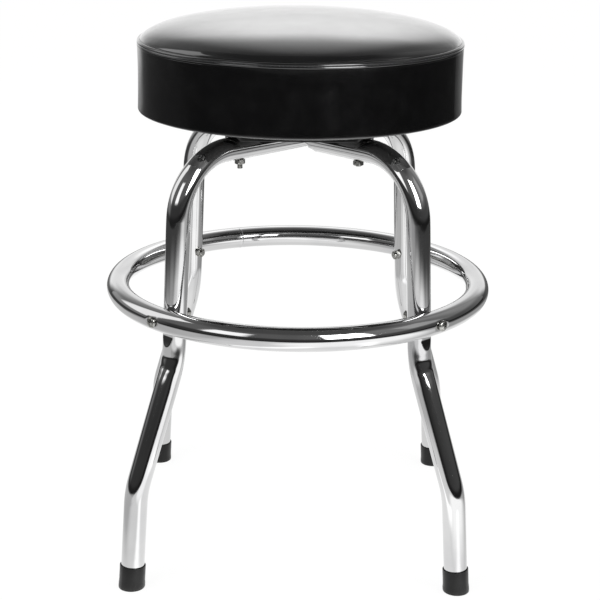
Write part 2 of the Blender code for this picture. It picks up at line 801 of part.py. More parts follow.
def crown(inset):
    """The seat's crown, a half ellipse, from its centre to the seam, at an even depth under its surface."""
    end = math.asin(SEAM_RADIUS / CROWN_HEIGHT)
    points = []
    for i in range(CROWN_STEPS + 1):
        angle = math.pi / 2 + (end - math.pi / 2) * i / CROWN_STEPS
        out = Vector((CROWN_HEIGHT * math.cos(angle), WELT_REACH * math.sin(angle))).normalized()
        surface = Vector((WELT_REACH * math.cos(angle), WELT_HEIGHT + CROWN_HEIGHT * math.sin(angle)))
        points.append(tuple(surface - out * inset))
    return points


def make_foam():
    """The pad under the crown, drawn in where the two seams are turned in round the welt."""
    neck = WELT_REACH - SEAM_RADIUS - VINYL - 2 * GAP
    shoulder = WELT_HEIGHT - SEAM_RADIUS - 2 * VINYL - SIDE_ROUND
    top = [point for point in crown(VINYL + 2 * GAP) if point[0] < neck]
    profile = [
        (0, top[0][1]),
        *top[1:],
        (neck, WELT_HEIGHT + SEAM_RADIUS),
        (neck, shoulder + SIDE_ROUND),
        (BOARD_RADIUS - SIDE_DRAW - GAP, shoulder),
        (BOARD_RADIUS - SIDE_DRAW - GAP, BOARD_TOP + GAP),
        (0, BOARD_TOP + GAP),
    ]
    foam = new_part("seat_foam", profile_mesh("seat_foam", profile, False), FOAM, SEAT_AXIS)
    turn(foam, SEAT_STEPS)


def make_top_cover():
    """The crowned vinyl top, its edge turned in above the welt."""
    top = crown(0)
    centre = (WELT_REACH, WELT_HEIGHT)
    seam = [arc(centre, SEAM_RADIUS, angle, angle, 1)[0] for angle in SEAM_ANGLES]
    profile = [(0, top[0][1]), *top[1:], *seam]
    cover = new_part("seat_top_cover", profile_mesh("seat_top_cover", profile, False), BLACK_VINYL, SEAT_AXIS)
    turn(cover, SEAT_STEPS)
    thicken(cover, VINYL)


def make_side_band():
    """The vinyl side from the seam under the welt, round the lower edge and under the board."""
    centre = (WELT_REACH, WELT_HEIGHT)
    beside = math.acos((SEAT_RADIUS - WELT_REACH) / SEAM_RADIUS)
    seam = [arc(centre, SEAM_RADIUS, -angle, -angle, 1)[0] for angle in reversed(SEAM_ANGLES)]
    edge = arc(centre, SEAM_RADIUS, -beside, -beside, 1)
    rounding = (SEAT_RADIUS - SIDE_ROUND, SEAT_BOTTOM + SIDE_ROUND)
    profile = [
        *seam,
        (WELT_REACH, WELT_HEIGHT - SEAM_RADIUS),
        *edge,
        (SEAT_RADIUS, WELT_HEIGHT - SEAM_RADIUS - SIDE_ROUND),
        (SEAT_RADIUS - SIDE_DRAW, (SEAT_BOTTOM + WELT_HEIGHT) / 2),
        *arc(rounding, SIDE_ROUND, 0, -math.pi / 2, SIDE_ROUND_STEPS),
        (UNDER_REACH, SEAT_BOTTOM),
    ]
    band = new_part("seat_side_band", profile_mesh("seat_side_band", profile, False), BLACK_VINYL, SEAT_AXIS)
    turn(band, SEAT_STEPS)
    thicken(band, VINYL)


def make_welt():
    bpy.ops.mesh.primitive_torus_add(
        major_radius=WELT_REACH,
        minor_radius=WELT_RADIUS,
        major_segments=SEAT_STEPS,
        minor_segments=WELT_SIDES,
    )
    torus = bpy.context.object
    mesh = smooth(torus.data)
    bpy.data.objects.remove(torus)
    new_part("seat_welt", mesh, BLACK_VINYL, SEAT_AXIS, (0, 0, WELT_HEIGHT))


# Holes


def upright_holes(label, radius, bottom, top):
    """One upright cutter at each corner of the bolt pattern."""
    holes = {}
    for corner, side in CORNERS.items():
        name = label + "_" + corner
        place = side * PLATE_BOLT_PLACE + Vector((0, 0, (bottom + top) / 2))
        holes[corner] = new_cutter(name, cylinder(name, radius, top - bottom, HOLE_STEPS), place)
    return holes


def level_holes():
    """Two level cutters under the seat, each through both legs of a hoop and through the ring."""
    length = 2 * (RING_RADIUS + TUBE_RADIUS + OVERRUN)
    holes = {}
    for name, corner in (("hole_lower_hoop", "back_right"), ("hole_upper_hoop", "front_right")):
        turned = facing(CORNERS[corner].normalized())
        cutter = cylinder(name, BOLT_HOLE, length, HOLE_STEPS)
        holes[name] = new_cutter(name, cutter, (0, 0, RING_HEIGHT), turned)
    return holes


def floor_block():
    side = 2 * (FOOT_REACH + TUBE_RADIUS + OVERRUN + OVERRUN)
    depth = 2 * (CAP_FLOOR + OVERRUN)
    return new_cutter("floor_block", box("floor_block", (side, side, depth), (0, 0, -depth / 2)))


def build_stool():
    under_nut = HOOP_HEIGHT - TUBE_RADIUS - NUT_HEIGHT - OVERRUN
    bolt_holes = upright_holes("bolt_hole", BOLT_HOLE, under_nut, LOWER_PLATE_TOP + OVERRUN)
    pilot_top = BOARD_BOTTOM + SEAT_SCREW_BITE + GAP
    pilot_radius = SEAT_SCREW_RADIUS + GAP
    pilot_holes = upright_holes("pilot_hole", pilot_radius, UPPER_PLATE_BOTTOM - OVERRUN, pilot_top)
    ring_holes = level_holes()
    lower_cutters = [bolt_holes["front_left"], bolt_holes["back_right"], ring_holes["hole_lower_hoop"]]
    upper_cutters = [bolt_holes["front_right"], bolt_holes["back_left"], ring_holes["hole_upper_hoop"]]
    make_hoop("leg_hoop_lower", math.radians(45), 1, lower_cutters)
    make_hoop("leg_hoop_upper", math.radians(-45), -1, upper_cutters)
    make_foot_ring(ring_holes.values())
    floor_cutter = floor_block()
    for corner, side in CORNERS.items():
        on_lower = corner in ("front_left", "back_right")
        ring_hole = ring_holes["hole_lower_hoop" if on_lower else "hole_upper_hoop"]
        make_foot_cap(corner, side, floor_cutter)
        make_ring_fasteners(corner, side, ring_hole)
        make_plate_fasteners(corner, side, bolt_holes[corner])
        make_seat_screw(corner, side)
    make_lower_plate(bolt_holes)
    make_ball_cage()
    make_upper_plate(pilot_holes)
    make_board(pilot_holes)
    make_foam()
    make_top_cover()
    make_side_band()
    make_welt()


build_stool()
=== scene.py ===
import math

import bmesh
import bpy
from mathutils import Matrix, Vector, noise
from mathutils.bvhtree import BVHTree


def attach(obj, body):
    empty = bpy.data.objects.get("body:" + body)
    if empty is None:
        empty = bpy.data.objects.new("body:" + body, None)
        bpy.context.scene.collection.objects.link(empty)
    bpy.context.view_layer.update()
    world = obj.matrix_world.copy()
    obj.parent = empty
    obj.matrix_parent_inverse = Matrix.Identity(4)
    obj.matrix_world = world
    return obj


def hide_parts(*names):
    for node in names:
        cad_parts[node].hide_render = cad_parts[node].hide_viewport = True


# Round swivel stool in metres, +Z up, seen from -Y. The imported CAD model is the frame.
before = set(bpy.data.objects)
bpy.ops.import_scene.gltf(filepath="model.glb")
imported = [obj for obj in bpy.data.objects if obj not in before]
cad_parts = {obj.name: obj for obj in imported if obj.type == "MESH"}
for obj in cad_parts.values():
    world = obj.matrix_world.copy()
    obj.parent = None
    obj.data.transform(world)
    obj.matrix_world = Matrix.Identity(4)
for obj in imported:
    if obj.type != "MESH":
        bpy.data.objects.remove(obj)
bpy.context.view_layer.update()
print("frame loaded with", len(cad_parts), "CAD pieces")

fullTurn = 2 * math.pi
corners = {
    depth + "_" + side: Vector((x, y, 0)).normalized()
    for depth, y in (("front", -1), ("back", 1))
    for side, x in (("left", -1), ("right", 1))
}


# Nodes and colours
def lightOf(share):
    # the light of an sRGB share between 0 and 1
    return share / 12.92 if share <= 0.04045 else ((share + 0.055) / 1.055) ** 2.4


def linear(hexColour):
    return tuple(lightOf(int(hexColour[i : i + 2], 16) / 255) for i in (1, 3, 5)) + (1,)


def addNode(tree, kind, inputs=None, **settings):
    made = tree.nodes.new("ShaderNode" + kind)
    for name, value in settings.items():
        setattr(made, name, value)
    for name, value in (inputs or {}).items():
        if isinstance(value, bpy.types.NodeSocket):
            tree.links.new(value, made.inputs[name])
        else:
            made.inputs[name].default_value = value
    return made


def startMaterial(name):
    material = bpy.data.materials.new(name)
    material.use_nodes = True
    material.node_tree.nodes.clear()
    return material, material.node_tree


def finished(material, kind, inputs):
    tree = material.node_tree
    shader = addNode(tree, kind, inputs)
    addNode(tree, "OutputMaterial", {"Surface": shader.outputs[0]})
    return material


def objectPlace(tree):
    return addNode(tree, "TexCoord").outputs["Object"]


def cloud(tree, place, size, detail, **more):
    # noise in patches about this many mm across
    inputs = {"Vector": place, "Scale": 1000 / size, "Detail": detail, **more}
    return addNode(tree, "TexNoise", inputs).outputs["Fac"]


def combined(tree, operation, first, second):
    return addNode(tree, "Math", {0: first, 1: second}, operation=operation).outputs["Value"]


def ramp(tree, value, *stops):
    # the colour between two stops, each a value and a hex colour
    made = addNode(tree, "ValToRGB", {"Fac": value})
    for element, (position, colour) in zip(made.color_ramp.elements, stops):
        element.position = position
        element.color = linear(colour)
    return made.outputs["Color"]


def ranged(tree, value, low, high, first, last):
    # first where the value is low, last where it is high
    inputs = {"Value": value, "From Min": low, "From Max": high, "To Min": first, "To Max": last}
    return addNode(tree, "MapRange", inputs).outputs["Result"]


def bump(tree, height, strength, depth, **more):
    # relief of a depth in mm
    inputs = {"Height": height, "Strength": strength, "Distance": depth / 1000, **more}
    return addNode(tree, "Bump", inputs).outputs["Normal"]


# Chrome plate over drawn steel tube. The plate is a near mirror, so the eye sees the studio in long
# streaks; drawing and polishing leave a faint ripple, and hands leave a haze.
chromeLook = {
    "colour": "#CECECE",
    "hazeColour": "#C2C2C3",
    "roughness": (0.035, 0.085),
    "hazeSize": 60,  # mm across a patch of haze
    "rippleSize": 14,  # mm from one ripple of the polishing to the next
    "rippleDepth": 0.006,  # mm
    "scratchSize": 0.9,  # mm, coarser than real polishing lines so that they show
}


def chromedSteelTube():
    look = chromeLook
    material, tree = startMaterial("chromed_steel_tube")
    place = objectPlace(tree)
    haze = cloud(tree, place, look["hazeSize"], 3)
    worn = combined(tree, "MULTIPLY", haze, cloud(tree, place, look["scratchSize"], 2))
    ripple = cloud(tree, place, look["rippleSize"], 1)
    inputs = {
        "Base Color": ramp(tree, haze, (0.42, look["colour"]), (0.72, look["hazeColour"])),
        "Metallic": 1,
        "Roughness": ranged(tree, worn, 0.12, 0.45, *look["roughness"]),
        "Normal": bump(tree, ripple, 0.6, look["rippleDepth"]),
    }
    return finished(material, "BsdfPrincipled", inputs)


# Zinc-plated steel, cold-headed and passivated. It is a soft grey metal with cloudy patches.
zincLook = {
    "colour": "#B8B8B5",
    "patchColour": "#84847F",
    "roughness": (0.2, 0.36),
    "patchSize": 2.5,
    "patchDepth": 0.05,
}


def zincPlatedSteel():
    look = zincLook
    material, tree = startMaterial("zinc_plated_steel")
    patch = cloud(tree, objectPlace(tree), look["patchSize"], 4)
    inputs = {
        "Base Color": ramp(tree, patch, (0.35, look["patchColour"]), (0.6, look["colour"])),
        "Metallic": 1,
        "Roughness": ranged(tree, patch, 0.3, 0.7, *reversed(look["roughness"])),
        "Normal": bump(tree, patch, 0.3, look["patchDepth"]),
    }
    return finished(material, "BsdfPrincipled", inputs)


# Black enamel sprayed on pressed steel sheet: a satin black skin with orange peel and dust.
enamelLook = {
    "colour": "#141415",
    "dustColour": "#3A3936",
    "roughness": (0.32, 0.5),
    "peelSize": 1.4,
    "peelDepth": 0.06,
    "dustSize": 18,
}


def blackEnamel():
    look = enamelLook
    material, tree = startMaterial("black_enamel_on_sheet_steel")
    place = objectPlace(tree)
    dust = cloud(tree, place, look["dustSize"], 6)
    peel = cloud(tree, place, look["peelSize"], 2)
    inputs = {
        "Base Color": ramp(tree, dust, (0.5, look["colour"]), (0.85, look["dustColour"])),
        "Roughness": ranged(tree, dust, 0.35, 0.7, *look["roughness"]),
        "IOR": 1.5,
        "Normal": bump(tree, peel, 0.4, look["peelDepth"]),
    }
    return finished(material, "BsdfPrincipled", inputs)


# Hardened bearing steel, ground and greased. It is a darker bright metal with brown grease on it.
bearingLook = {
    "colour": "#A3A4A6",
    "greaseColour": "#5A4632",
    "roughness": (0.14, 0.38),
    "greaseSize": 9,
    "greaseDepth": 0.1,
}


def greasedBearingSteel():
    look = bearingLook
    material, tree = startMaterial("greased_bearing_steel")
    grease = cloud(tree, objectPlace(tree), look["greaseSize"], 4)
    inputs = {
        "Base Color": ramp(tree, grease, (0.48, look["colour"]), (0.66, look["greaseColour"])),
        "Metallic": 1,
        "Roughness": ranged(tree, grease, 0.4, 0.7, *look["roughness"]),
        "Normal": bump(tree, grease, 0.4, look["greaseDepth"]),
    }
    return finished(material, "BsdfPrincipled", inputs)


# Soft PVC, injection moulded. It is a dull black with a fine spark-eroded texture, scuffed grey low down.
capLook = {
    "colour": "#080808",
    "scuffColour": "#262523",
    "roughness": (0.3, 0.46),
    "scuffHeight": 0.010,  # m above the floor
    "scuffShare": 0.24,
    "scuffSize": 3.846,
    "grainSize": 0.6,
    "grainDepth": 0.08,
}


def mouldedPvc():
    look = capLook
    material, tree = startMaterial("moulded_black_pvc")
    place = objectPlace(tree)
    height = addNode(tree, "SeparateXYZ", {"Vector": place}).outputs["Z"]
    low = ranged(tree, height, 0, look["scuffHeight"], look["scuffShare"], 0)
    scuff = combined(tree, "ADD", cloud(tree, place, look["scuffSize"], 6, Roughness=0.7), low)
    grain = cloud(tree, place, look["grainSize"], 3)
    inputs = {
        "Base Color": ramp(tree, scuff, (0.6, look["colour"]), (0.9, look["scuffColour"])),
        "Roughness": ranged(tree, scuff, 0.4, 0.9, *look["roughness"]),
        "IOR": 1.4,
        "Normal": bump(tree, grain, 0.35, look["grainDepth"]),
    }
    return finished(material, "BsdfPrincipled", inputs)


# Rotary-cut plywood under one thin coat of black paint. The peeled grain telegraphs through as fine
# ridges, and the wood shows brown where the coat is thin.
boardLook = {
    "paint": "#0E0E0E",
    "wood": "#4A3524",
    "roughness": (0.5, 0.72),
    "stretch": (1, 0.12, 1),  # the grain runs along Y
    "grainWidth": 4.5,
    "poreSize": 0.8,
    "poreDepth": 0.1,
    "thinSize": 33.333,  # mm across a thin place in the coat
}


def paintedPlywood():
    look = boardLook
    material, tree = startMaterial("black_painted_plywood")
    place = objectPlace(tree)
    stretched = addNode(tree, "Mapping", {"Vector": place, "Scale": look["stretch"]}).outputs["Vector"]
    grain = cloud(tree, stretched, look["grainWidth"], 5, Distortion=1.2)
    bare = combined(tree, "MULTIPLY", grain, cloud(tree, place, look["thinSize"], 6, Roughness=0.7))
    pores = cloud(tree, stretched, look["poreSize"], 2)
    inputs = {
        "Base Color": ramp(tree, bare, (0.33, look["paint"]), (0.5, look["wood"])),
        "Roughness": ranged(tree, bare, 0.2, 0.45, *look["roughness"]),
        "IOR": 1.48,
        "Normal": bump(tree, pores, 0.5, look["poreDepth"]),
    }
    return finished(material, "BsdfPrincipled", inputs)


# Polyurethane foam, cut from a block: a dull cream surface of open cells.
foamLook = {
    "colour": "#D8CDA6",
    # painted shade: this darker colour sits in the cells' hollows, where the bump sinks deepest
    "cellHollowShade": "#A99C74",
    "roughness": 0.95,
    "cellSize": 1.3,
    "cellDepth": 0.4,
}


def openCellFoam():
    look = foamLook
    material, tree = startMaterial("open_cell_foam")
    inputs = {"Vector": objectPlace(tree), "Scale": 1000 / look["cellSize"]}
    cells = addNode(tree, "TexVoronoi", inputs).outputs["Distance"]
    inputs = {
        # painted shade in the cell hollows, darkest where the bump is lowest
        "Base Color": ramp(tree, cells, (0, look["cellHollowShade"]), (0.5, look["colour"])),
        "Roughness": look["roughness"],
        "Normal": bump(tree, cells, 0.8, look["cellDepth"]),
    }
    return finished(material, "BsdfPrincipled", inputs)


# PVC-coated cloth, calendered and lacquered. The lacquer is a smooth wet gloss over a black skin
# whose pressed grain is almost flat where the cloth is stretched over the crown.
vinylLook = {
    "colour": "#060607",
    "rubColour": "#0A0A0B",
    "rubSize": 22.222,
    "grainSize": 1.6,  # mm, pressed leather grain
    "grainDepth": 0.012,
    "waveSize": 38,  # mm, uneven stretch over the foam
    "waveDepth": 0.05,
    "roughness": (0.16, 0.27),
    "lacquerRoughness": 0.035,
    "lacquerIor": 1.78,
    "skinIor": 1.36,
}


def glossBlackVinyl():
    look = vinylLook
    material, tree = startMaterial("lacquered_black_vinyl")
    place = objectPlace(tree)
    rub = cloud(tree, place, look["rubSize"], 5, Roughness=0.65)
    inputs = {"Vector": place, "Scale": 1000 / look["grainSize"], "Smoothness": 0.6}
    grain = addNode(tree, "TexVoronoi", inputs, feature="SMOOTH_F1").outputs["Distance"]
    broad = bump(tree, cloud(tree, place, look["waveSize"], 1), 0.5, look["waveDepth"])
    inputs = {
        "Base Color": ramp(tree, rub, (0.45, look["colour"]), (0.8, look["rubColour"])),
        "Roughness": ranged(tree, rub, 0.3, 0.7, *look["roughness"]),
        "IOR": look["skinIor"],
        "Coat Weight": 1,
        "Coat Roughness": look["lacquerRoughness"],
        "Coat IOR": look["lacquerIor"],
        "Normal": bump(tree, grain, 0.5, look["grainDepth"], Normal=broad),
        "Coat Normal": broad,
    }
    return finished(material, "BsdfPrincipled", inputs)


# Bonded polyester thread, twisted from three strands. It is a dull black line with a slanting twist.
threadLook = {
    "colour": "#161617",
    # painted light and shade: the crests of the twist are coloured lighter and its grooves darker
    "crestHighlightColour": "#3C3C3F",
    "roughness": 0.62,
    "lint": 0.25,
    "twist": 3.5626,  # mm along the thread from one strand to the next
    "twistDepth": 0.1,
}


def polyesterThread():
    look = threadLook
    material, tree = startMaterial("twisted_polyester_thread")
    # a diagonal wave repeats every tenth of a full turn
    inputs = {"Vector": objectPlace(tree), "Scale": 100 * fullTurn / look["twist"], "Distortion": 0.4}
    twist = addNode(tree, "TexWave", inputs, bands_direction="DIAGONAL").outputs["Fac"]
    inputs = {
        # painted highlight on the twist's crests and painted shade in its grooves, following the bump
        "Base Color": ramp(tree, twist, (0, look["colour"]), (1, look["crestHighlightColour"])),
        "Roughness": look["roughness"],
        "Sheen Weight": look["lint"],
        "Normal": bump(tree, twist, 0.6, look["twistDepth"]),
    }
    return finished(material, "BsdfPrincipled", inputs)


chromeFinish = chromedSteelTube()
zincFinish = zincPlatedSteel()
enamelFinish = blackEnamel()
bearingFinish = greasedBearingSteel()
capFinish = mouldedPvc()
plywoodFinish = paintedPlywood()
foamFinish = openCellFoam()
vinylFinish = glossBlackVinyl()
threadFinish = polyesterThread()
print("materials made")


# Meshes
def polar(angle, reach=1, height=0):
    return Vector((reach * math.cos(angle), reach * math.sin(angle), height))


def anglesRound(count):
    return [fullTurn * k / count for k in range(count)]


def drift(angle, waves, layer):
    # smooth noise round a full turn that meets itself, with more waves for a larger number
    return noise.noise(polar(angle, waves, layer))


def ease(share):
    # a soft step from 0 to 1
    return share * share * (3 - 2 * share)


def linked(name, data):
    made = bpy.data.objects.new(name, data)
    bpy.context.scene.collection.objects.link(made)
    return made


def evaluated(obj):
    graph = bpy.context.evaluated_depsgraph_get()
    return bpy.data.meshes.new_from_object(obj.evaluated_get(graph))


def meshOf(name, build):
    mesh = bpy.data.meshes.new(name)
    build.to_mesh(mesh)
    build.free()
    return mesh


def skin(name, sections, along=False, caps=False):
    # faces between neighbouring sections of points that all have the same number of points
    count = len(sections[0])
    faces = []
    for i in range(len(sections) if along else len(sections) - 1):
        j = (i + 1) % len(sections)
        for k in range(count):
            m = (k + 1) % count
            faces.append((i * count + k, i * count + m, j * count + m, j * count + k))
    if caps:
        faces.append(tuple(reversed(range(count))))
        faces.append(tuple(range((len(sections) - 1) * count, len(sections) * count)))
    mesh = bpy.data.meshes.new(name)
    mesh.from_pydata([point for section in sections for point in section], [], faces)
    build = bmesh.new()
    build.from_mesh(mesh)
    bmesh.ops.remove_doubles(build, verts=build.verts, dist=0.000002)
    bmesh.ops.recalc_face_normals(build, faces=build.faces)
    build.to_mesh(mesh)
    build.free()
    return mesh


def turned(name, profile, steps, loop=False, shape=lambda angle, *place: place, seamAt=None):
    # a profile of (reach, height) points turned about Z; shape may move each point by its angle
    angles = anglesRound(steps)
    if seamAt is not None:
        # close columns beside a seam
        columns = range(-seat["seamColumns"], seat["seamColumns"] + 1)
        angles = sorted(set(angles) | {seamAt + seat["seamStep"] * k for k in columns})
    sections = [[polar(a, *shape(a, reach, height)) for a in angles] for reach, height in profile]
    return skin(name, sections, along=loop)


def rounded(points, radius, loop=False, steps=3):
    # the same outline with each corner rounded, by less where its sides are short
    sideShare = 0.42  # of a side's length that one corner may take
    made = []
    count = len(points)
    for i in range(count):
        here = Vector(points[i])
        if not loop and i in (0, count - 1):
            made.append(here)
            continue
        back = Vector(points[i - 1]) - here
        ahead = Vector(points[(i + 1) % count]) - here
        cut = min(radius, back.length * sideShare, ahead.length * sideShare)
        first = here + back.normalized() * cut
        last = here + ahead.normalized() * cut
        for k in range(steps + 1):
            t = k / steps
            made.append(first * (1 - t) ** 2 + here * 2 * t * (1 - t) + last * t**2)
    return [tuple(point) for point in made]


def merged(name, meshes):
    build = bmesh.new()
    for mesh in meshes:
        build.from_mesh(mesh)
    return meshOf(name, build)


def newPiece(name, mesh, material, body, replaced=(), crease=38):
    mesh.materials.clear()
    mesh.materials.append(material)
    mesh.shade_smooth()
    mesh.set_sharp_from_angle(angle=math.radians(crease))
    piece = linked(name, mesh)
    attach(piece, body)
    if replaced:
        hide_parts(*replaced)
    return piece


def cutFrom(mesh, cutters):
    # takes each cutter mesh out of the mesh with an exact Boolean
    target = linked("target", mesh)
    tools = [linked("tool", cutter) for cutter in cutters]
    for tool in tools:
        cut = target.modifiers.new("cut", "BOOLEAN")
        cut.object = tool
        cut.solver = "EXACT"
    result = evaluated(target)
    for used in [target, *tools]:
        bpy.data.objects.remove(used)
    return result


# Leg hoops
legs = {
    "tubeRadius": 0.0127,
    "footReach": 0.2495,
    "bends": ((0.2405, 0.110, 0.09), (0.18548, 0.246, 0.13), (0.174, 0.464, 0.068)),  # reach, height, radius
    "pressed": ((1, 1, 0.03), (0.86, 1.13, 0.03), (0.87, 1.07, 0.062)),  # thinner, wider, over a length
    "dent": (0.2846, 0.2745, 0.2555, 0.0028),  # top, deepest, end, depth: pressed flat under the ring
    "wrinkles": ((0.2495, 0.0036, 0.0005), (0.2375, 0.003, 0.0004)),  # height, length, depth inside the knee
    "top": 0.464,
    "crossingFlat": 0.014,
    "crossingBlend": 0.016,
    "gap": 0.0003,
    "endAboveFoot": 0.0048,
    "spacing": 0.0045,
    "fineSpacing": 0.0012,  # where the tube is pressed and wrinkled
    "fineFrom": 0.228,
    "fineTo": 0.29,
    "sides": 64,
}


def legReach(height):
    knee, shoulder = legs["bends"][1], legs["bends"][2]
    return knee[0] + (shoulder[0] - knee[0]) * (height - knee[1]) / (shoulder[1] - knee[1])


def footDirection():
    bend = legs["bends"][0]
    return Vector((bend[0] - legs["footReach"], 0, bend[1])).normalized()


def spacingAt(height):
    return legs["fineSpacing"] if legs["fineFrom"] < height < legs["fineTo"] else legs["spacing"]


def straightRun(start, end):
    direction = (end - start).normalized()
    length = (end - start).length
    made = []
    gone = 0
    while gone < length - legs["fineSpacing"] / 2:
        place = start + direction * gone
        made.append((place, direction))
        gone += spacingAt(place.z)
    return made


def halfHoop():
    foot = Vector((legs["footReach"], 0, 0))
    turnsAt = [Vector((reach, 0, height)) for reach, height, radius in legs["bends"]]
    route = [foot + footDirection() * legs["endAboveFoot"], *turnsAt, Vector((0, 0, legs["top"]))]
    stations = []
    middles = []
    start = route[0]
    for i, (reach, height, radius) in enumerate(legs["bends"]):
        come = (route[i + 1] - route[i]).normalized()
        leave = (route[i + 2] - route[i + 1]).normalized()
        turning = come.angle(leave)
        side = (leave - come * come.dot(leave)).normalized()
        bendStart = route[i + 1] - come * radius * math.tan(turning / 2)
        centre = bendStart + side * radius

        def onBend(angle):
            return centre + (come * math.sin(angle) - side * math.cos(angle)) * radius

        stations += straightRun(start, bendStart)
        steps = max(6, round(radius * turning / spacingAt(route[i + 1].z)))
        for a in (turning * k / steps for k in range(steps)):
            stations.append((onBend(a), come * math.cos(a) + side * math.sin(a)))
        middles.append(onBend(turning / 2))
        start = onBend(turning)
    stations += straightRun(start, route[-1])
    return stations, middles


def pressCrossing(point, side):
    # one half of the tube's height is pressed flat where the two hoops cross
    height = (point.z - legs["top"]) * side
    outward = abs(point.x) - legs["crossingFlat"]
    if outward >= legs["crossingBlend"]:
        return point
    roundShare = ease(max(0, outward / legs["crossingBlend"]))
    half = legs["gap"] / 2
    limit = (legs["tubeRadius"] + half) * roundShare - half
    if height <= limit:
        return point
    angle = math.atan2(height, abs(point.y))
    flat = legs["tubeRadius"] * (1 - angle / (math.pi / 2))
    width = abs(point.y) * roundShare + flat * (1 - roundShare)
    return Vector((point.x, math.copysign(width, point.y), legs["top"] + side * limit))


def dentDepth(height):
    # how deep the outer face is pressed flat just under the foot ring, sloping out again lower down
    top, deepest, end, depth = legs["dent"]
    if height >= top or height <= end:
        return 0
    return depth * min((top - height) / (top - deepest), (height - end) / (deepest - end))


def hoopMesh(name, turnedBy, pressedSide):
    stations, middles = halfHoop()
    mirror = Vector((-1, 1, 1))
    level = [(Vector((0, 0, legs["top"])), Vector((-1, 0, 0)))]
    whole = stations + level + [
        (place * mirror, direction * Vector((1, 1, -1))) for place, direction in reversed(stations)
    ]
    sections = []
    for place, direction in whole:
        across = Vector((direction.z, 0, -direction.x))
        thin, wide = 1, 1
        for middle, (flatShare, wideShare, length) in zip(middles, legs["pressed"]):
            away = (place - Vector((math.copysign(middle.x, place.x), 0, middle.z))).length
            if away < length:
                weight = math.cos(math.pi / 2 * away / length) ** 2
                thin += (flatShare - 1) * weight
                wide += (wideShare - 1) * weight
        fold = sum(deep * math.exp(-(((place.z - at) / long) ** 2)) for at, long, deep in legs["wrinkles"])
        flat = legs["tubeRadius"] - dentDepth(place.z)
        outward = across * math.copysign(1, across.x * place.x)
        section = []
        for a in anglesRound(legs["sides"]):
            offset = (across * math.cos(a) * thin + Vector((0, math.sin(a) * wide, 0))) * legs["tubeRadius"]
            outer = max(0, offset.dot(outward))
            offset -= outward * (fold * (outer / legs["tubeRadius"]) ** 2 + max(0, outer - flat))
            section.append(pressCrossing(place + offset, pressedSide))
        sections.append(section)
    mesh = skin(name, sections, caps=True)
    mesh.transform(Matrix.Rotation(turnedBy, 4, "Z"))
    return mesh


for hoop, degrees, pressedSide in (("leg_hoop_lower", 45, 1), ("leg_hoop_upper", -45, -1)):
    name = hoop + "_tube"
    tube = hoopMesh(name, math.radians(degrees), pressedSide)
    newPiece(name, tube, chromeFinish, "frame", [hoop])
print("leg hoops made")

# Foot ring, pressed to a saddle round each leg and dimpled under each screw head
ring = {
    "radius": 0.2032,
    "height": 0.295,
    "saddleGap": 0.0003,
    "dimpleDepth": 0.001,
    "dimpleFlat": 0.0062,
    "dimpleBlend": 0.0075,
    "sides": 40,
    "fineHalf": math.radians(6.4),  # close sections on both sides of each leg
    "fineSections": 52,
    "freeSections": 56,
    "weldAngle": 111.5,  # degrees from +X, at the back
    "weldWidth": 0.0042,
    "weldHeight": 0.0005,
    "weldRipple": 0.0012,
    "weldRippleShare": 0.2,  # of its height
    "weldTaper": 0.4,  # a smaller number gives blunter ends
    "weldFrom": 95,  # degrees round the tube's section, over its inner half
    "weldSweep": 170,
    "weldSteps": 60,
}


def ringAngles():
    angles = []
    fine, free = 2 * ring["fineHalf"], math.pi / 2 - 2 * ring["fineHalf"]
    for quarter in range(4):
        start = math.radians(45 + 90 * quarter) - ring["fineHalf"]
        angles += [start + fine * i / ring["fineSections"] for i in range(ring["fineSections"])]
        angles += [start + fine + free * i / ring["freeSections"] for i in range(ring["freeSections"])]
    return angles


def pressRing(point):
    outward = Vector((math.copysign(1, point.x), math.copysign(1, point.y), 0)).normalized()
    sideways = Vector((-outward.y, outward.x, 0))
    reach = point.dot(outward)
    aside = point.dot(sideways)
    hollow = legs["tubeRadius"] + ring["saddleGap"]
    if abs(aside) < hollow:
        saddle = legReach(point.z) + math.sqrt(hollow**2 - aside**2)
        if reach < saddle:
            return point + outward * (saddle - reach)
    away = math.hypot(aside, point.z - ring["height"])
    share = min(1, max(0, (away - ring["dimpleFlat"]) / ring["dimpleBlend"]))
    limit = ring["radius"] + legs["tubeRadius"] - ring["dimpleDepth"] * (1 - ease(share))
    if share < 1 and reach > limit:
        return point - outward * (reach - limit)
    return point


def ringMesh():
    sections = []
    for angle in ringAngles():
        section = []
        for a in anglesRound(ring["sides"]):
            point = polar(angle) * (ring["radius"] + legs["tubeRadius"] * math.cos(a))
            point.z = ring["height"] + legs["tubeRadius"] * math.sin(a)
            section.append(pressRing(point))
        sections.append(section)
    return skin("foot_ring_tube", sections, along=True)


def weldMesh():
    # a bead over the inner half of the ring's closed joint, rippled as the arc laid it
    out = polar(math.radians(ring["weldAngle"]))
    sideways = Vector((-out.y, out.x, 0))
    sections = []
    for i in range(ring["weldSteps"] + 1):
        t = i / ring["weldSteps"]
        a = math.radians(ring["weldFrom"] + ring["weldSweep"] * t)
        fade = math.sin(math.pi * t) ** ring["weldTaper"]
        wave = math.cos(fullTurn * (a * legs["tubeRadius"]) / ring["weldRipple"])
        ripple = 1 - ring["weldRippleShare"] + ring["weldRippleShare"] * wave
        away = out * math.cos(a) + Vector((0, 0, math.sin(a)))
        centre = out * ring["radius"] + Vector((0, 0, ring["height"])) + away * legs["tubeRadius"]
        section = []
        for b in anglesRound(12):
            width = ring["weldWidth"] / 2 * fade * math.cos(b)
            rise = ring["weldHeight"] * fade * ripple * math.sin(b)
            section.append(centre + sideways * width + away * rise)
        sections.append(section)
    return skin("foot_ring_weld", sections, caps=True)


newPiece("foot_ring_tube", ringMesh(), chromeFinish, "frame", ["foot_ring"])
newPiece("foot_ring_weld", weldMesh(), chromeFinish, "frame")
print("foot ring made")

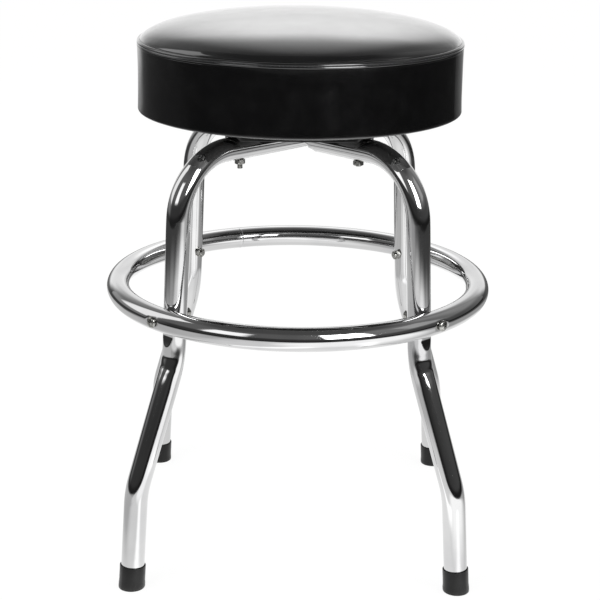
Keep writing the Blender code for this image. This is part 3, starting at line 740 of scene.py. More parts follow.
# Foot caps
caps = {
    "gap": 0.0003,
    "wall": 0.00105,
    "flare": 0.0004,
    "height": 0.026,
    "floor": 0.0045,
    "lip": 0.0006,
    "partingRidge": 0.00018,
    "partingWidth": 0.035,  # as a share of the cap's radius, to each side
    "sole": ((0, 0.0035), (0, 0.0012), (0.0002, 0.0005), (0.0006, 0.0001), (0.0011, 0)),  # inset, height
    "sides": 72,
}


def capMesh(corner):
    side = corners[corner]
    lean = footDirection()
    up = Vector((side.x * lean.x, side.y * lean.x, lean.z))
    foot = side * legs["footReach"]
    across = Vector((-side.y, side.x, 0))
    outward = across.cross(up)
    bore = legs["tubeRadius"] + caps["gap"]
    outer = bore + caps["wall"]
    wide = outer + caps["flare"]
    floor, height, lip = caps["floor"], caps["height"], caps["lip"]

    def pointAt(angle, radius, rise, level):
        # level True measures the rise from the floor, so that the cap stands flat on it
        if radius > bore + caps["wall"] / 2:
            radius += caps["partingRidge"] * max(0, 1 - abs(math.sin(angle)) / caps["partingWidth"])
        aside = outward * math.cos(angle) * radius + across * math.sin(angle) * radius
        return foot + up * ((rise - aside.z) / up.z if level else rise) + aside

    outline = [
        (0, floor, False),
        (bore, floor, False),
        (bore, height - lip / 2, False),
        (bore + lip / 3, height, False),
        (outer - lip / 2, height, False),
        (outer - lip / 8, height - lip / 3, False),
        (outer, height - lip, False),
        (outer, height * 0.55, False),
        (outer, floor * 2, False),
        (wide - caps["flare"] / 5, floor * 1.2, False),
        *((wide - inset, rise, True) for inset, rise in caps["sole"]),
        (0, 0, True),
    ]
    sections = [[pointAt(a, *place) for a in anglesRound(caps["sides"])] for place in outline]
    return skin("foot_cap_" + corner, sections)


for corner in corners:
    newPiece("cap_" + corner, capMesh(corner), capFinish, "frame", ["foot_cap_" + corner], 30)
print("foot caps made")

# Swivel sizes, which the fasteners need too
swivel = {
    "half": 0.0794,
    "corner": 0.012,
    "lowerBottom": 0.477,
    "lowerTop": 0.479,
    "upperBottom": 0.4949,
    "upperTop": 0.4969,
    "flangeBottom": 0.4734,
    "flangeWall": 0.0018,
    "flangeHalf": 0.062,
    "ballHeight": 0.48695,
    "ballCircle": 0.052,
    "ballRadius": 0.004,
    "ballCount": 11,
    "grooveRadius": 0.0045,
    "raceReach": (0.04252, 0.04612, 0.05788, 0.06148),  # foot, ridge, ridge, foot
    "raceRound": 0.0009,
    "edgeSoft": 0.0004,
    "cage": (0.0458, 0.0582, 0.0006, 0.0003),  # from, to, half its thickness, its rounding
    "plateInside": 0.066,  # where the round middle meets the square outside
    # (reach, height) points of the collar that holds the plates together, and of each race's back
    "lowerCollar": (
        (0.0305, 0.477), (0.0305, 0.4953), (0.0365, 0.4953), (0.0365, 0.4938), (0.032, 0.4938), (0.032, 0.479)
    ),
    "lowerBack": ((0.05968, 0.477), (0.05608, 0.48045), (0.04792, 0.48045), (0.04432, 0.477), (0.033, 0.477)),
    "upperCollar": ((0.0326, 0.4914), (0.0326, 0.4934), (0.039, 0.4934), (0.041, 0.4969)),
    "upperBack": ((0.0443, 0.4969), (0.0479, 0.49345), (0.0561, 0.49345), (0.0597, 0.4969)),
    "upperInside": ((0.0405, 0.4949), (0.04, 0.4914), (0.034, 0.4914)),
}

# Fasteners: M6 pan-head screws and bolts, hexagon nuts, wood screws
machineScrew = {
    "headRadius": 0.006,
    "rim": 0.0014,
    "radius": 0.003,
    "pitch": 0.001,
    "threadDepth": 0.0004,
    "recess": 1,  # size of the cross recess
    "point": 0,  # length of the point
}
woodScrew = {
    "headRadius": 0.0045,
    "rim": 0.0008,
    "radius": 0.0024,
    "pitch": 0.0018,
    "threadDepth": 0.0006,
    "recess": 0.7,
    "point": 0.004,
}
fastener = {
    "recessLength": 0.0064,
    "recessWidth": 0.0012,
    "recessDepth": 0.0023,
    "recessMouth": (1.1, 1.1),  # its length and width at the top of the cutter, as shares
    "recessBottom": (0.45, 0.7),
    "recessOver": 0.001,  # how far the cutter stands above the head
    "undercut": 0.6,  # of the rim, a dark line between head and tube
    "tip": 0.0002,
    "nutFlats": 0.010,
    "nutHeight": 0.005,
    "nutChamfer": 0.0006,
    "nutFace": 0.97,  # radius of its round faces, as a share of half its flats
    "nutSlope": 1.75,
    "nutBore": 0.003,
    "nutMouth": 0.0004,
    "gap": 0.0003,
    "ringHeadHeight": 0.0042,
    "ringScrewEnd": 0.002,
    "platePlace": 0.0635,
    "plateHeadHeight": 0.0035,
    "plateBoltEnds": {"front_left": 0.005, "front_right": 0.0012, "back_left": 0.0012, "back_right": 0.0012},
    "woodHeadHeight": 0.0025,
    "woodLength": 0.0131,
    "turn": (17, 31),  # degrees that the first one is turned, and each next one more
    "headSides": 48,
    "threadSides": 24,
    "nutSides": 72,
}


def headMesh(name, kind, height):
    radius, rim, recess = kind["headRadius"], kind["rim"], kind["recess"]
    bows = [math.radians(a) for a in range(0, 91, 9)]
    dome = [(radius * math.sin(a), rim + (height - rim) * math.cos(a)) for a in bows]
    neck = radius - rim * fastener["undercut"]
    outline = [*dome, (radius, rim * 0.5), (neck, rim * 0.4), (neck, 0), (0, 0)]
    head = turned(name, outline, fastener["headSides"])
    cutters = []
    for quarter in (0, 1):
        build = bmesh.new()
        bmesh.ops.create_cube(build, size=1)
        for vert in build.verts:
            low = vert.co.z < 0
            long, wide = fastener["recessBottom"] if low else fastener["recessMouth"]
            vert.co.x *= fastener["recessLength"] * recess * long
            vert.co.y *= fastener["recessWidth"] * recess * wide
            vert.co.z = height + (-fastener["recessDepth"] * recess if low else fastener["recessOver"])
        bmesh.ops.rotate(build, verts=build.verts, matrix=Matrix.Rotation(math.pi / 2 * quarter, 3, "Z"))
        cutters.append(meshOf("recess", build))
    return cutFrom(head, cutters)


def threadMesh(name, kind, length):
    # a threaded shank below Z = 0, its end chamfered or drawn to a point
    sections = []
    pitch, sides = kind["pitch"], fastener["threadSides"]
    steps = max(12, round(length / (pitch / 8)))
    for i in range(steps + 1):
        z = -length * i / steps
        left = length + z
        taper = min(1, (left + fastener["tip"]) / kind["point"]) if kind["point"] else 1
        section = []
        for k, a in enumerate(anglesRound(sides)):
            wave = abs(((z / pitch - k / sides) % 1) * 2 - 1)
            r = (kind["radius"] - kind["threadDepth"] * wave) * taper
            if not kind["point"]:
                r = min(r, kind["radius"] - kind["threadDepth"] + left)
            section.append(polar(a, r, z))
        sections.append(section)
    return skin(name, sections, caps=True)


def screwMesh(name, kind, headHeight, length):
    return merged(name, [headMesh(name, kind, headHeight), threadMesh(name, kind, length)])


def nutMesh(name):
    # chamfered hexagon with its bearing face at Z = 0 and its body below
    half = fastener["nutFlats"] / 2
    height, chamfer = fastener["nutHeight"], fastener["nutChamfer"]
    bore, mouth = fastener["nutBore"], fastener["nutMouth"]
    angles = anglesRound(fastener["nutSides"])
    levels = [0, chamfer / 3, chamfer * 2 / 3, chamfer, height / 2]
    outer = [(level, level) for level in levels]
    outer += [(height - level, level) for level in reversed(levels[:-1])]
    sections = []
    for z, depthIn in outer:
        section = []
        for a in angles:
            hexagon = half / math.cos((a % (math.pi / 3)) - math.pi / 6)
            face = half * fastener["nutFace"] + depthIn * fastener["nutSlope"]
            section.append(polar(a, min(hexagon, face), -z))
        sections.append(section)
    for z, r in ((height, bore + mouth), (height - mouth, bore), (mouth, bore), (0, bore + mouth)):
        sections.append([polar(a, r, -z) for a in angles])
    return skin(name, sections, along=True)


def facing(outward):
    up = Vector((0, 0, 1))
    return Matrix((up.cross(outward), up, outward)).transposed().to_4x4()


def addFastener(kind, word, corner, mesh, matrix, body="frame"):
    name = kind + "_" + word + "_" + corner
    piece = mesh.copy()
    piece.name = name
    piece.transform(matrix)
    newPiece(name, piece, zincFinish, body, [kind + "_" + corner], 30)


def moved(outward, reach, height):
    return Matrix.Translation(outward * reach + Vector((0, 0, height)))


nutCorner = fastener["nutFlats"] / 2 / math.cos(math.radians(30))
ringHeadSeat = ring["radius"] + legs["tubeRadius"] - ring["dimpleDepth"] + fastener["gap"]
ringNutFace = legReach(ring["height"] + nutCorner) - legs["tubeRadius"] - fastener["gap"]
ringScrewLength = ringHeadSeat - ringNutFace + fastener["nutHeight"] + fastener["ringScrewEnd"]
plateHeadSeat = swivel["lowerTop"] + fastener["gap"]
plateNutFace = legs["top"] - legs["tubeRadius"] - fastener["gap"]
plateReach = fastener["platePlace"] * math.sqrt(2)
ringScrewMesh = screwMesh("ring_screw", machineScrew, fastener["ringHeadHeight"], ringScrewLength)
seatScrewMesh = screwMesh("wood_screw", woodScrew, fastener["woodHeadHeight"], fastener["woodLength"])
nut = nutMesh("hexagon_nut")
for index, (corner, outward) in enumerate(corners.items()):
    turnedBy = Matrix.Rotation(math.radians(fastener["turn"][0] + fastener["turn"][1] * index), 4, "Z")
    level = facing(outward) @ turnedBy
    upsideDown = Matrix.Rotation(math.pi, 4, "X") @ turnedBy
    boltLength = plateHeadSeat - plateNutFace + fastener["nutHeight"] + fastener["plateBoltEnds"][corner]
    bolt = screwMesh("plate_bolt", machineScrew, fastener["plateHeadHeight"], boltLength)
    headPlace = moved(outward, ringHeadSeat, ring["height"])
    nutPlace = moved(outward, ringNutFace, ring["height"])
    addFastener("ring_screw", "fastener", corner, ringScrewMesh, headPlace @ level)
    addFastener("ring_nut", "hexagon", corner, nut, nutPlace @ level)
    boltPlace = moved(outward, plateReach, plateHeadSeat)
    nutPlace = moved(outward, plateReach, plateNutFace)
    addFastener("plate_bolt", "fastener", corner, bolt, boltPlace @ turnedBy)
    addFastener("plate_nut", "hexagon", corner, nut, nutPlace @ turnedBy)
    underPlate = moved(outward, plateReach, swivel["upperBottom"] - fastener["gap"])
    addFastener("seat_screw", "fastener", corner, seatScrewMesh, underPlate @ upsideDown, "seat")
print("fasteners made")


# Swivel: two pressed plates with a ball race between them
def squareReach(angle, half, corner):
    # how far a rounded square's outline lies from its middle at an angle
    c, s = abs(math.cos(angle)), abs(math.sin(angle))
    far = half / max(c, s)
    inner = half - corner
    if far * min(c, s) <= inner:
        return far
    b = inner * (c + s)
    return b + math.sqrt(max(0, b * b - 2 * inner * inner + corner * corner))


def plateAngles():
    # every 2 degrees, and just beside the ends of the turned-down edges
    angles = {math.radians(2 * k) for k in range(180)}
    for quarter in range(4):
        for beside in (-0.0003, 0.0003):
            a = math.atan((swivel["flangeHalf"] + beside) / swivel["half"])
            angles |= {math.pi / 2 * quarter + a, (math.pi / 2 * quarter - a) % fullTurn}
    return sorted(angles)


def raceLine(flipped):
    # ridge, ball groove and ridge between the race's two feet, from inside to outside
    z = swivel["ballHeight"]
    base = swivel["lowerTop"]
    radius = swivel["grooveRadius"]
    bows = [math.radians(205 + 130 * k / 8) for k in range(9)]
    groove = [(swivel["ballCircle"] + radius * math.cos(a), z + radius * math.sin(a)) for a in bows]
    ridge = groove[0][1]
    first, second, third, last = swivel["raceReach"]
    line = [(first, base), (second, ridge), *groove, (third, ridge), (last, base)]
    return [(r, 2 * z - h) for r, h in line] if flipped else line


def platePiece(name, body, replaced, top, bottom, upside, edge, underside):
    # the whole section as one closed loop of rings: top face, rim, edge, underside
    angles = plateAngles()
    soft = swivel["edgeSoft"]
    upside = rounded([*upside, (swivel["plateInside"], top)], swivel["raceRound"])
    underside = rounded([(swivel["plateInside"], bottom), *underside], swivel["raceRound"])
    rim = ((3 * soft, top), (soft, top - soft / 2), (0, top - 2 * soft))
    sections = [[polar(a, r, z) for a in angles] for r, z in upside]
    for inset, height, skirtHeight in [*((inset, z, z) for inset, z in rim), *edge]:
        section = []
        for a in angles:
            r = squareReach(a, swivel["half"] - inset, swivel["corner"] - inset)
            along = min(abs(r * math.cos(a)), abs(r * math.sin(a)))
            section.append(polar(a, r, skirtHeight if along < swivel["flangeHalf"] else height))
        sections.append(section)
    sections += [[polar(a, r, z) for a in angles] for r, z in underside]
    mesh = skin(name, sections, along=True)
    newPiece(name, mesh, enamelFinish, body, [replaced])


def cageMesh():
    z = swivel["ballHeight"]
    inside, outside, half, edge = swivel["cage"]
    radius = swivel["ballRadius"]
    outline = [(inside, z - half), (outside, z - half), (outside, z + half), (inside, z + half)]
    cage = turned("cage", rounded(outline, edge, loop=True), 120, loop=True)
    build = bmesh.new()
    for i in range(swivel["ballCount"]):
        place = polar(fullTurn * (i + 0.5) / swivel["ballCount"], swivel["ballCircle"], z)
        matrix = Matrix.Translation(place)
        bmesh.ops.create_uvsphere(build, u_segments=24, v_segments=14, radius=radius, matrix=matrix)
    return merged("swivel_cage_with_balls", [cage, meshOf("balls", build)])


soft, wall, skirt = swivel["edgeSoft"], swivel["flangeWall"], swivel["flangeBottom"]
bottom = swivel["lowerBottom"]
# inset, height at the corners, height along the turned-down edges
lowerEdge = [
    (0, bottom + soft * 0.75, skirt + soft),
    (soft, bottom, skirt),
    (wall - soft, bottom, skirt),
    (wall, bottom, skirt + soft),
    (wall, bottom, bottom - soft * 1.5),
    (wall + soft * 2, bottom, bottom),
]
platePiece(
    "swivel_lower_pressing",
    "frame",
    "swivel_lower_plate",
    swivel["lowerTop"],
    bottom,
    [*swivel["lowerCollar"], *raceLine(False)],
    lowerEdge,
    swivel["lowerBack"],
)
bottom = swivel["upperBottom"]
platePiece(
    "swivel_upper_pressing",
    "seat",
    "swivel_upper_plate",
    swivel["upperTop"],
    bottom,
    [*swivel["upperCollar"], *swivel["upperBack"]],
    [(0, bottom + soft * 1.5, bottom + soft * 1.5), (soft * 1.5, bottom, bottom)],
    [*reversed(raceLine(True)), *swivel["upperInside"]],
)
cage = cageMesh()
newPiece("swivel_cage_with_balls", cage, bearingFinish, "ball_cage", ["swivel_ball_cage"])
print("swivel made")

# Seat cushion
seat = {
    "radius": 0.1775,
    "bottom": 0.4957,
    "weltHeight": 0.5694,
    "weltReach": 0.1752,
    "weltRadius": 0.0031,
    "crownHeight": 0.0324,
    "vinyl": 0.0012,
    "gap": 0.0003,
    "edgeRound": 0.0016,
    "underReach": 0.150,
    "underEdge": (0.002, 0.0025),  # how far in from the side, and how far up, the underside is pleated
    "sideDraw": 0.0006,
    "boardTop": 0.5122,
    "steps": 240,
    "sideRows": 26,
    "underRows": 8,
    "seamPuckers": 64,  # gathers round the crown at the seam
    "seamPuckerDepth": 0.00012,
    "seamPuckerReach": 0.016,
    "pleats": 40,  # folds of the vinyl under the board
    "pleatDepth": 0.0009,
    "pleatDrift": 1.3,  # how far the folds wander from even spacing
    "pleatSlope": 0.82,  # share of a fold before it turns back
    "trimWander": 0.0016,
    "sideWave": 0.00022,
    "edgeWave": 0.00012,
    "slackHeight": 0.02,  # of the band's lower edge
    "pullHeight": 0.012,  # under the seam
    "bandSeam": math.radians(90),  # where the band's ends are sewn together, at the back
    "seamStep": 0.0016,  # angle between the close columns beside a seam
    "seamColumns": 16,  # to each side
    "seamDepth": 0.0009,
    "seamWidth": 0.0009,
    "seamSwell": (0.0034, 0.002, 0.00022),  # place beside the seam, width, height
}
# The welt is a strip folded over the seam
welt = {
    # its section from its middle in mm: two soft rolls with a stitched groove between
    "section": (
        (-1.8, 2.7), (0.6, 3.1), (1.75, 2.5), (2.4, 1.5), (2.45, 0.6), (1.6, 0.3), (1.6, -0.15),
        (2.35, -0.4), (2.52, -1.35), (2.45, -2.0), (2.15, -2.45), (1.4, -2.95), (-1.8, -2.7),
    ),
    "rounding": 0.0012,
    "columns": 720,
    "groove": (0.0014, 0.00016),  # half width, and how far it is pulled in between the stitches
    "wander": 0.00012,
    "join": math.radians(97),  # where its ends meet
    "joinWidth": 0.0005,
    "joinDepth": 0.0006,
    "seen": 0.0023,  # how far it stands out, to space the stitches by
}
stitch = {
    "pitch": 0.0042,
    "length": 0.84,  # as a share of the pitch
    "reach": 0.0017,  # outside the welt's middle
    "rise": 0.00042,
    "sunk": 0.0001,
    "thickness": 0.00034,
    "slant": 0.00018,
}
staple = {
    "count": 42,
    "size": (0.0012, 0.0102, 0.0006),
    "rounding": 0.0002,
    "under": 0.0012,
    "inset": 0.005,  # from the trimmed edge
    "wander": 0.0012,
    "spread": 0.3,  # of the spacing
    "lean": 0.35,
}
# a coarse copy of the crown, settled as cloth, that gives the crown its relief
cushion = {
    "voxel": 0.005,
    "pressure": 4,
    "frames": 20,
    "mass": 0.25,
    "stiffness": 12,
    "bending": 0.4,
    "slack": 0.985,  # the cloth starts this much smaller and is blown up
    "unevenSeam": 0.006,
    "unevenWidth": 0.02,
    "unevenScale": 22,
    "usedShare": 0.985,  # the relief ends just inside the seam
    "sewnBelow": 0.009,  # above the welt
    "rows": 40,
    "columns": 120,
    "smoothing": 6,
    "middleRows": 6,  # over which the relief grows from the middle
    "reliefLimit": 0.00022,
}
seamReach = seat["weltRadius"] + seat["gap"]


def seamPoint(degrees):
    # a point of a cover's edge where it turns in round the welt
    a = math.radians(degrees)
    return seat["weltReach"] + seamReach * math.cos(a), seat["weltHeight"] + seamReach * math.sin(a)


def crownLine(inset, count):
    # the half ellipse of the crown from its centre to the seam, at a depth under its surface
    end = math.asin(seamReach / seat["crownHeight"])
    line = []
    for i in range(count + 1):
        a = math.pi / 2 + (end - math.pi / 2) * i / count
        out = Vector((seat["crownHeight"] * math.cos(a), seat["weltReach"] * math.sin(a))).normalized()
        reach = seat["weltReach"] * math.cos(a) - out.x * inset
        height = seat["weltHeight"] + seat["crownHeight"] * math.sin(a) - out.y * inset
        line.append((max(0, reach), height))
    return line


def searchTree(mesh):
    points = [vert.co.copy() for vert in mesh.vertices]
    return BVHTree.FromPolygons(points, [face.vertices[:] for face in mesh.polygons])


def settledCrown():
    # a coarse copy of the crown swells under pressure as cloth sewn down round an uneven seam
    flat = [(seat["weltReach"] * k / 20, seat["weltHeight"]) for k in range(20, -1, -1)]
    cloth = linked("settling", turned("settling", [*crownLine(0, 40), *flat], 96))
    bpy.context.view_layer.objects.active = cloth
    remesh = cloth.modifiers.new("remesh", "REMESH")
    remesh.mode = "VOXEL"
    remesh.voxel_size = cushion["voxel"]
    source = evaluated(cloth)
    cloth.modifiers.clear()
    for vert in source.vertices:
        r = math.hypot(vert.co.x, vert.co.y)
        spot = (vert.co.x * cushion["unevenScale"], vert.co.y * cushion["unevenScale"], 4)
        share = max(0, 1 - (seat["weltReach"] - r) / cushion["unevenWidth"])
        size = cushion["slack"] + cushion["unevenSeam"] * share * noise.noise(Vector(spot))
        vert.co.x *= size
        vert.co.y *= size
    before = searchTree(source)
    cloth.data = source
    sewn = cloth.vertex_groups.new(name="sewn")
    low = seat["weltHeight"] + cushion["sewnBelow"]
    sewn.add([vert.index for vert in source.vertices if vert.co.z < low], 1, "REPLACE")
    settle = cloth.modifiers.new("settle", "CLOTH")
    settle.settings.vertex_group_mass = "sewn"
    settle.settings.use_pressure = True
    settle.settings.uniform_pressure_force = cushion["pressure"]
    settle.settings.effector_weights.gravity = 0
    settle.settings.quality = 6
    settle.settings.mass = cushion["mass"]
    settle.settings.tension_stiffness = cushion["stiffness"]
    settle.settings.compression_stiffness = cushion["stiffness"]
    settle.settings.bending_stiffness = cushion["bending"]
    settle.point_cache.frame_start = 1
    settle.point_cache.frame_end = cushion["frames"]
    for step in range(1, cushion["frames"] + 1):
        bpy.context.scene.frame_set(step)
    after = searchTree(evaluated(cloth))
    bpy.data.objects.remove(cloth)
    bpy.context.scene.frame_set(1)
    rows, steps = cushion["rows"], cushion["columns"]
    down = Vector((0, 0, -1))
    relief = []
    for j in range(rows):
        r = seat["weltReach"] * cushion["slack"] * cushion["usedShare"] * j / (rows - 1)
        line = []
        for a in anglesRound(steps):
            start = polar(a, r, 1)
            first = before.ray_cast(start, down)[0]
            last = after.ray_cast(start, down)[0]
            line.append(last.z - first.z if first and last else 0)
        mean = sum(line) / steps
        relief.append([value - mean for value in line])
    for turn in range(cushion["smoothing"]):
        relief = [
            [
                (relief[max(0, j - 1)][k] + relief[min(rows - 1, j + 1)][k]) / 4
                + (relief[j][k - 1] + relief[j][(k + 1) % steps]) / 4
                for k in range(steps)
            ]
            for j in range(rows)
        ]
    most = max(abs(value) for line in relief for value in line) or 1
    size = min(1, cushion["reliefLimit"] / most)
    print("cloth relief", round(most * 1000, 3), "mm, used at", round(size, 3))
    middle = cushion["middleRows"]
    return [[value * size * min(1, j / middle) for value in line] for j, line in enumerate(relief)]


crownRelief = settledCrown()


def reliefAt(angle, reach):
    rows, steps = cushion["rows"], cushion["columns"]
    j = min(rows - 1.001, reach / seat["weltReach"] * (rows - 1))
    k = angle / fullTurn * steps
    row, column = int(j), int(k) % steps
    u, v = j - row, k - int(k)
    near = crownRelief[row][column] * (1 - v) + crownRelief[row][(column + 1) % steps] * v
    far = crownRelief[row + 1][column] * (1 - v) + crownRelief[row + 1][(column + 1) % steps] * v
    return near * (1 - u) + far * u


def puckeredCrown(angle, reach, height):
    near = max(0, 1 - (seat["weltReach"] - reach) / seat["seamPuckerReach"])
    gather = drift(angle, 9, 3)
    wave = math.cos(seat["seamPuckers"] * angle + 4 * gather)
    drop = seat["seamPuckerDepth"] * near * near * wave * (0.6 + gather)
    return reach, height + reliefAt(angle, reach) + drop


def foamMesh():
    gap, vinyl = seat["gap"], seat["vinyl"]
    neck = seat["weltReach"] - seamReach - vinyl - 2 * gap
    top = [point for point in crownLine(vinyl + 2 * gap, 24) if point[0] < neck]
    side = seat["radius"] - vinyl - 2 * gap - seat["sideDraw"]
    shoulder = seat["weltHeight"] - seamReach - 2 * vinyl - seat["edgeRound"]
    outline = [
        (0, top[0][1]),
        *top[1:],
        (neck, seat["weltHeight"] + seat["weltRadius"]),
        (neck, shoulder + seat["edgeRound"]),
        (side, shoulder),
        (side, seat["boardTop"] + gap),
        (0, seat["boardTop"] + gap),
    ]
    return turned("foam_pad", outline, 96)


def coverMesh():
    turnedIn = [seamPoint(degrees) for degrees in (98, 115, 135, 152, 168)]
    edge = turnedIn[2][0] - 2 * seat["gap"]
    inner = [point for point in crownLine(seat["vinyl"], 40) if point[0] < edge]
    outline = [*crownLine(0, 56), *turnedIn, *reversed(inner)]
    return turned("cushion_top", outline, seat["steps"], shape=puckeredCrown)


def seamDip(aside, height):
    # a sewn line pulled in at each stitch, with the vinyl swelling a little on both sides
    pull = 0.75 + 0.25 * math.cos(fullTurn * height / stitch["pitch"])
    dip = seat["seamDepth"] * pull * math.exp(-((aside / seat["seamWidth"]) ** 2))
    place, width, swell = seat["seamSwell"]
    return dip - swell * math.exp(-(((abs(aside) - place) / width) ** 2))


def bandShape(angle, reach, height):
    r, z = reach, height
    inset, rise = seat["underEdge"]
    underneath = z < seat["bottom"] + rise and r < seat["radius"] - inset
    if underneath:
        # pleats deepen toward the trimmed edge under the board
        share = (seat["radius"] - r) / (seat["radius"] - seat["underReach"])
        gather = drift(angle, 5, 7)
        fold = (angle * seat["pleats"] / fullTurn + seat["pleatDrift"] * gather) % 1
        slope = seat["pleatSlope"]
        z -= seat["pleatDepth"] * share * (fold if fold < slope else (1 - fold) / (1 - slope) * slope)
        r += seat["trimWander"] * share * drift(angle, 14, 1)
    else:
        # slack of the band along its lower edge and a faint pull under the seam
        low = max(0, 1 - (z - seat["bottom"]) / seat["slackHeight"])
        high = max(0, 1 - (seat["weltHeight"] - z) / seat["pullHeight"])
        slow = drift(angle, 4, z * 40)
        fast = drift(angle, 16, z * 60)
        r += seat["sideWave"] * slow + seat["edgeWave"] * fast * (low + high)
        r -= seamDip((angle - seat["bandSeam"]) * seat["radius"], z)
    return r, z


def bandMesh():
    beside = math.degrees(math.acos((seat["radius"] - seat["weltReach"]) / seamReach))
    outline = [seamPoint(degrees) for degrees in (-168, -150, -130, -110, -90, -beside - 8, -beside)]
    top = outline[-1][1]
    low = seat["bottom"] + seat["edgeRound"]
    for t in ((i + 1) / seat["sideRows"] for i in range(seat["sideRows"])):
        draw = seat["sideDraw"] * math.sin(math.pi * t) ** 0.8
        outline.append((seat["radius"] - draw, top + (low - top) * t))
    middle, bend = seat["radius"] - seat["edgeRound"], seat["edgeRound"]
    for a in (math.radians(degrees) for degrees in range(-15, -91, -15)):
        outline.append((middle + bend * math.cos(a), low + bend * math.sin(a)))
    for t in ((i + 1) / seat["underRows"] for i in range(seat["underRows"])):
        outline.append((middle + (seat["underReach"] - middle) * t, seat["bottom"]))
    inner = []
    for i, (r, z) in enumerate(outline):
        before = Vector(outline[max(0, i - 1)])
        after = Vector(outline[min(len(outline) - 1, i + 1)])
        along = (after - before).normalized() * seat["vinyl"]
        inner.append((r + along.y, z - along.x))
    whole = [*outline, *reversed(inner)]
    return turned("cushion_band", whole, seat["steps"], loop=True, shape=bandShape, seamAt=seat["bandSeam"])


def weltMesh():
    section = [(x * 0.001, z * 0.001) for x, z in welt["section"]]
    outline = rounded(section, welt["rounding"], loop=True, steps=4)
    profile = [(seat["weltReach"] + x, seat["weltHeight"] + z) for x, z in outline]
    count = round(fullTurn * (seat["weltReach"] + welt["seen"]) / stitch["pitch"])
    grooveHalf, groovePull = welt["groove"]

    def pulled(angle, reach, height):
        # the groove is pulled in between the stitches, and the two cut ends butt on a slant
        inside = max(0, 1 - abs(height - seat["weltHeight"]) / grooveHalf)
        dimple = math.cos(math.pi * ((angle * count / fullTurn) % 1 - 0.5)) ** 6
        wander = welt["wander"] * drift(angle, 7, 11)
        out = 1 if reach > seat["weltReach"] else 0
        aside = (angle - welt["join"]) * seat["weltReach"] - (height - seat["weltHeight"])
        join = welt["joinDepth"] * math.exp(-((aside / welt["joinWidth"]) ** 2)) * out
        return reach - groovePull * (1 - dimple) * inside * out - join, height + wander

    made = turned("cushion_welt", profile, welt["columns"], loop=True, shape=pulled, seamAt=welt["join"])
    return made, count


def stitchMesh(count):
    # one short thread for each stitch, dipping into the channel at both ends
    meshes = []
    reach = seat["weltReach"] + stitch["reach"]
    half = math.pi / count * stitch["length"]
    for i in range(count):
        sections = []
        for t in (k / 6 * 2 - 1 for k in range(7)):
            out = polar(fullTurn * (i + 0.5) / count + half * t)
            rise = stitch["rise"] * (1 - t**4) - stitch["sunk"]
            thick = stitch["thickness"] * (1 - 0.5 * t**4)
            centre = out * (reach + rise) + Vector((0, 0, seat["weltHeight"] + stitch["slant"] * t))
            strand = [polar(b, thick) for b in anglesRound(6)]
            sections.append([centre + out * spot.x + Vector((0, 0, spot.y)) for spot in strand])
        meshes.append(skin("stitch", sections, caps=True))
    whole = merged("welt_stitching", meshes)
    for mesh in meshes:
        bpy.data.meshes.remove(mesh)
    return whole


def stapleMesh():
    # wire staples that hold the vinyl to the board, each a bridge with its legs in the wood
    build = bmesh.new()
    for i in range(staple["count"]):
        a = fullTurn * (i + staple["spread"] * noise.noise(Vector((i * 1.7, 0, 0)))) / staple["count"]
        turn = staple["lean"] * noise.noise(Vector((i * 2.3, 5, 0)))
        aside = staple["inset"] + staple["wander"] * noise.noise(Vector((0, i * 1.3, 2)))
        made = bmesh.ops.create_cube(build, size=1)["verts"]
        edges = list({edge for vert in made for edge in vert.link_edges})
        bmesh.ops.scale(build, vec=staple["size"], verts=made)
        place = Vector((seat["underReach"] + aside, 0, seat["bottom"] - staple["under"]))
        matrix = Matrix.Rotation(a, 4, "Z") @ Matrix.Translation(place) @ Matrix.Rotation(turn, 4, "Z")
        bmesh.ops.transform(build, matrix=matrix, verts=made)
        bmesh.ops.bevel(
            build, geom=edges, offset=staple["rounding"], segments=2, affect="EDGES", profile=0.5
        )
    return meshOf("staples", build)


foamPad = newPiece("foam_pad", foamMesh(), foamFinish, "seat", ["seat_foam"])
cushionTop = newPiece("cushion_top", coverMesh(), vinylFinish, "seat", ["seat_top_cover"])
cushionBand = newPiece("cushion_band", bandMesh(), vinylFinish, "seat", ["seat_side_band"])
weltRing, stitchCount = weltMesh()
cushionWelt = newPiece("cushion_welt", weltRing, vinylFinish, "seat", ["seat_welt"])
newPiece("welt_stitching", stitchMesh(stitchCount), threadFinish, "seat")
newPiece("staples", stapleMesh(), zincFinish, "seat")
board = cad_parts["seat_board"]
board.data.materials.clear()
board.data.materials.append(plywoodFinish)
print("seat made with", stitchCount, "stitches")

# Studio
studio = {
    "floorColour": "#F4F4F2",
    "floorHalf": 14,
    "whiteShare": 0.86,  # how much of the floor is plain white to the camera, the rest takes shadow
    "floorGlow": 1.06,
    "worldLight": 0.7,
    "lampTarget": (0, 0, 0.3),
    "lamps": {"left": ((-1.5, -1.5, 2.1), 1.3, 16), "right": ((1.7, -1.1, 1.8), 1.1, 9)},  # place, width, W
    "lampShape": 0.75,  # height over width
    "plateShare": 0.62,  # how much light the chrome returns, to set the mirrored room by
}


def whiteRays(tree):
    path = addNode(tree, "LightPath").outputs
    some = combined(tree, "MAXIMUM", path["Is Camera Ray"], path["Is Glossy Ray"])
    return combined(tree, "MAXIMUM", some, path["Is Transmission Ray"])


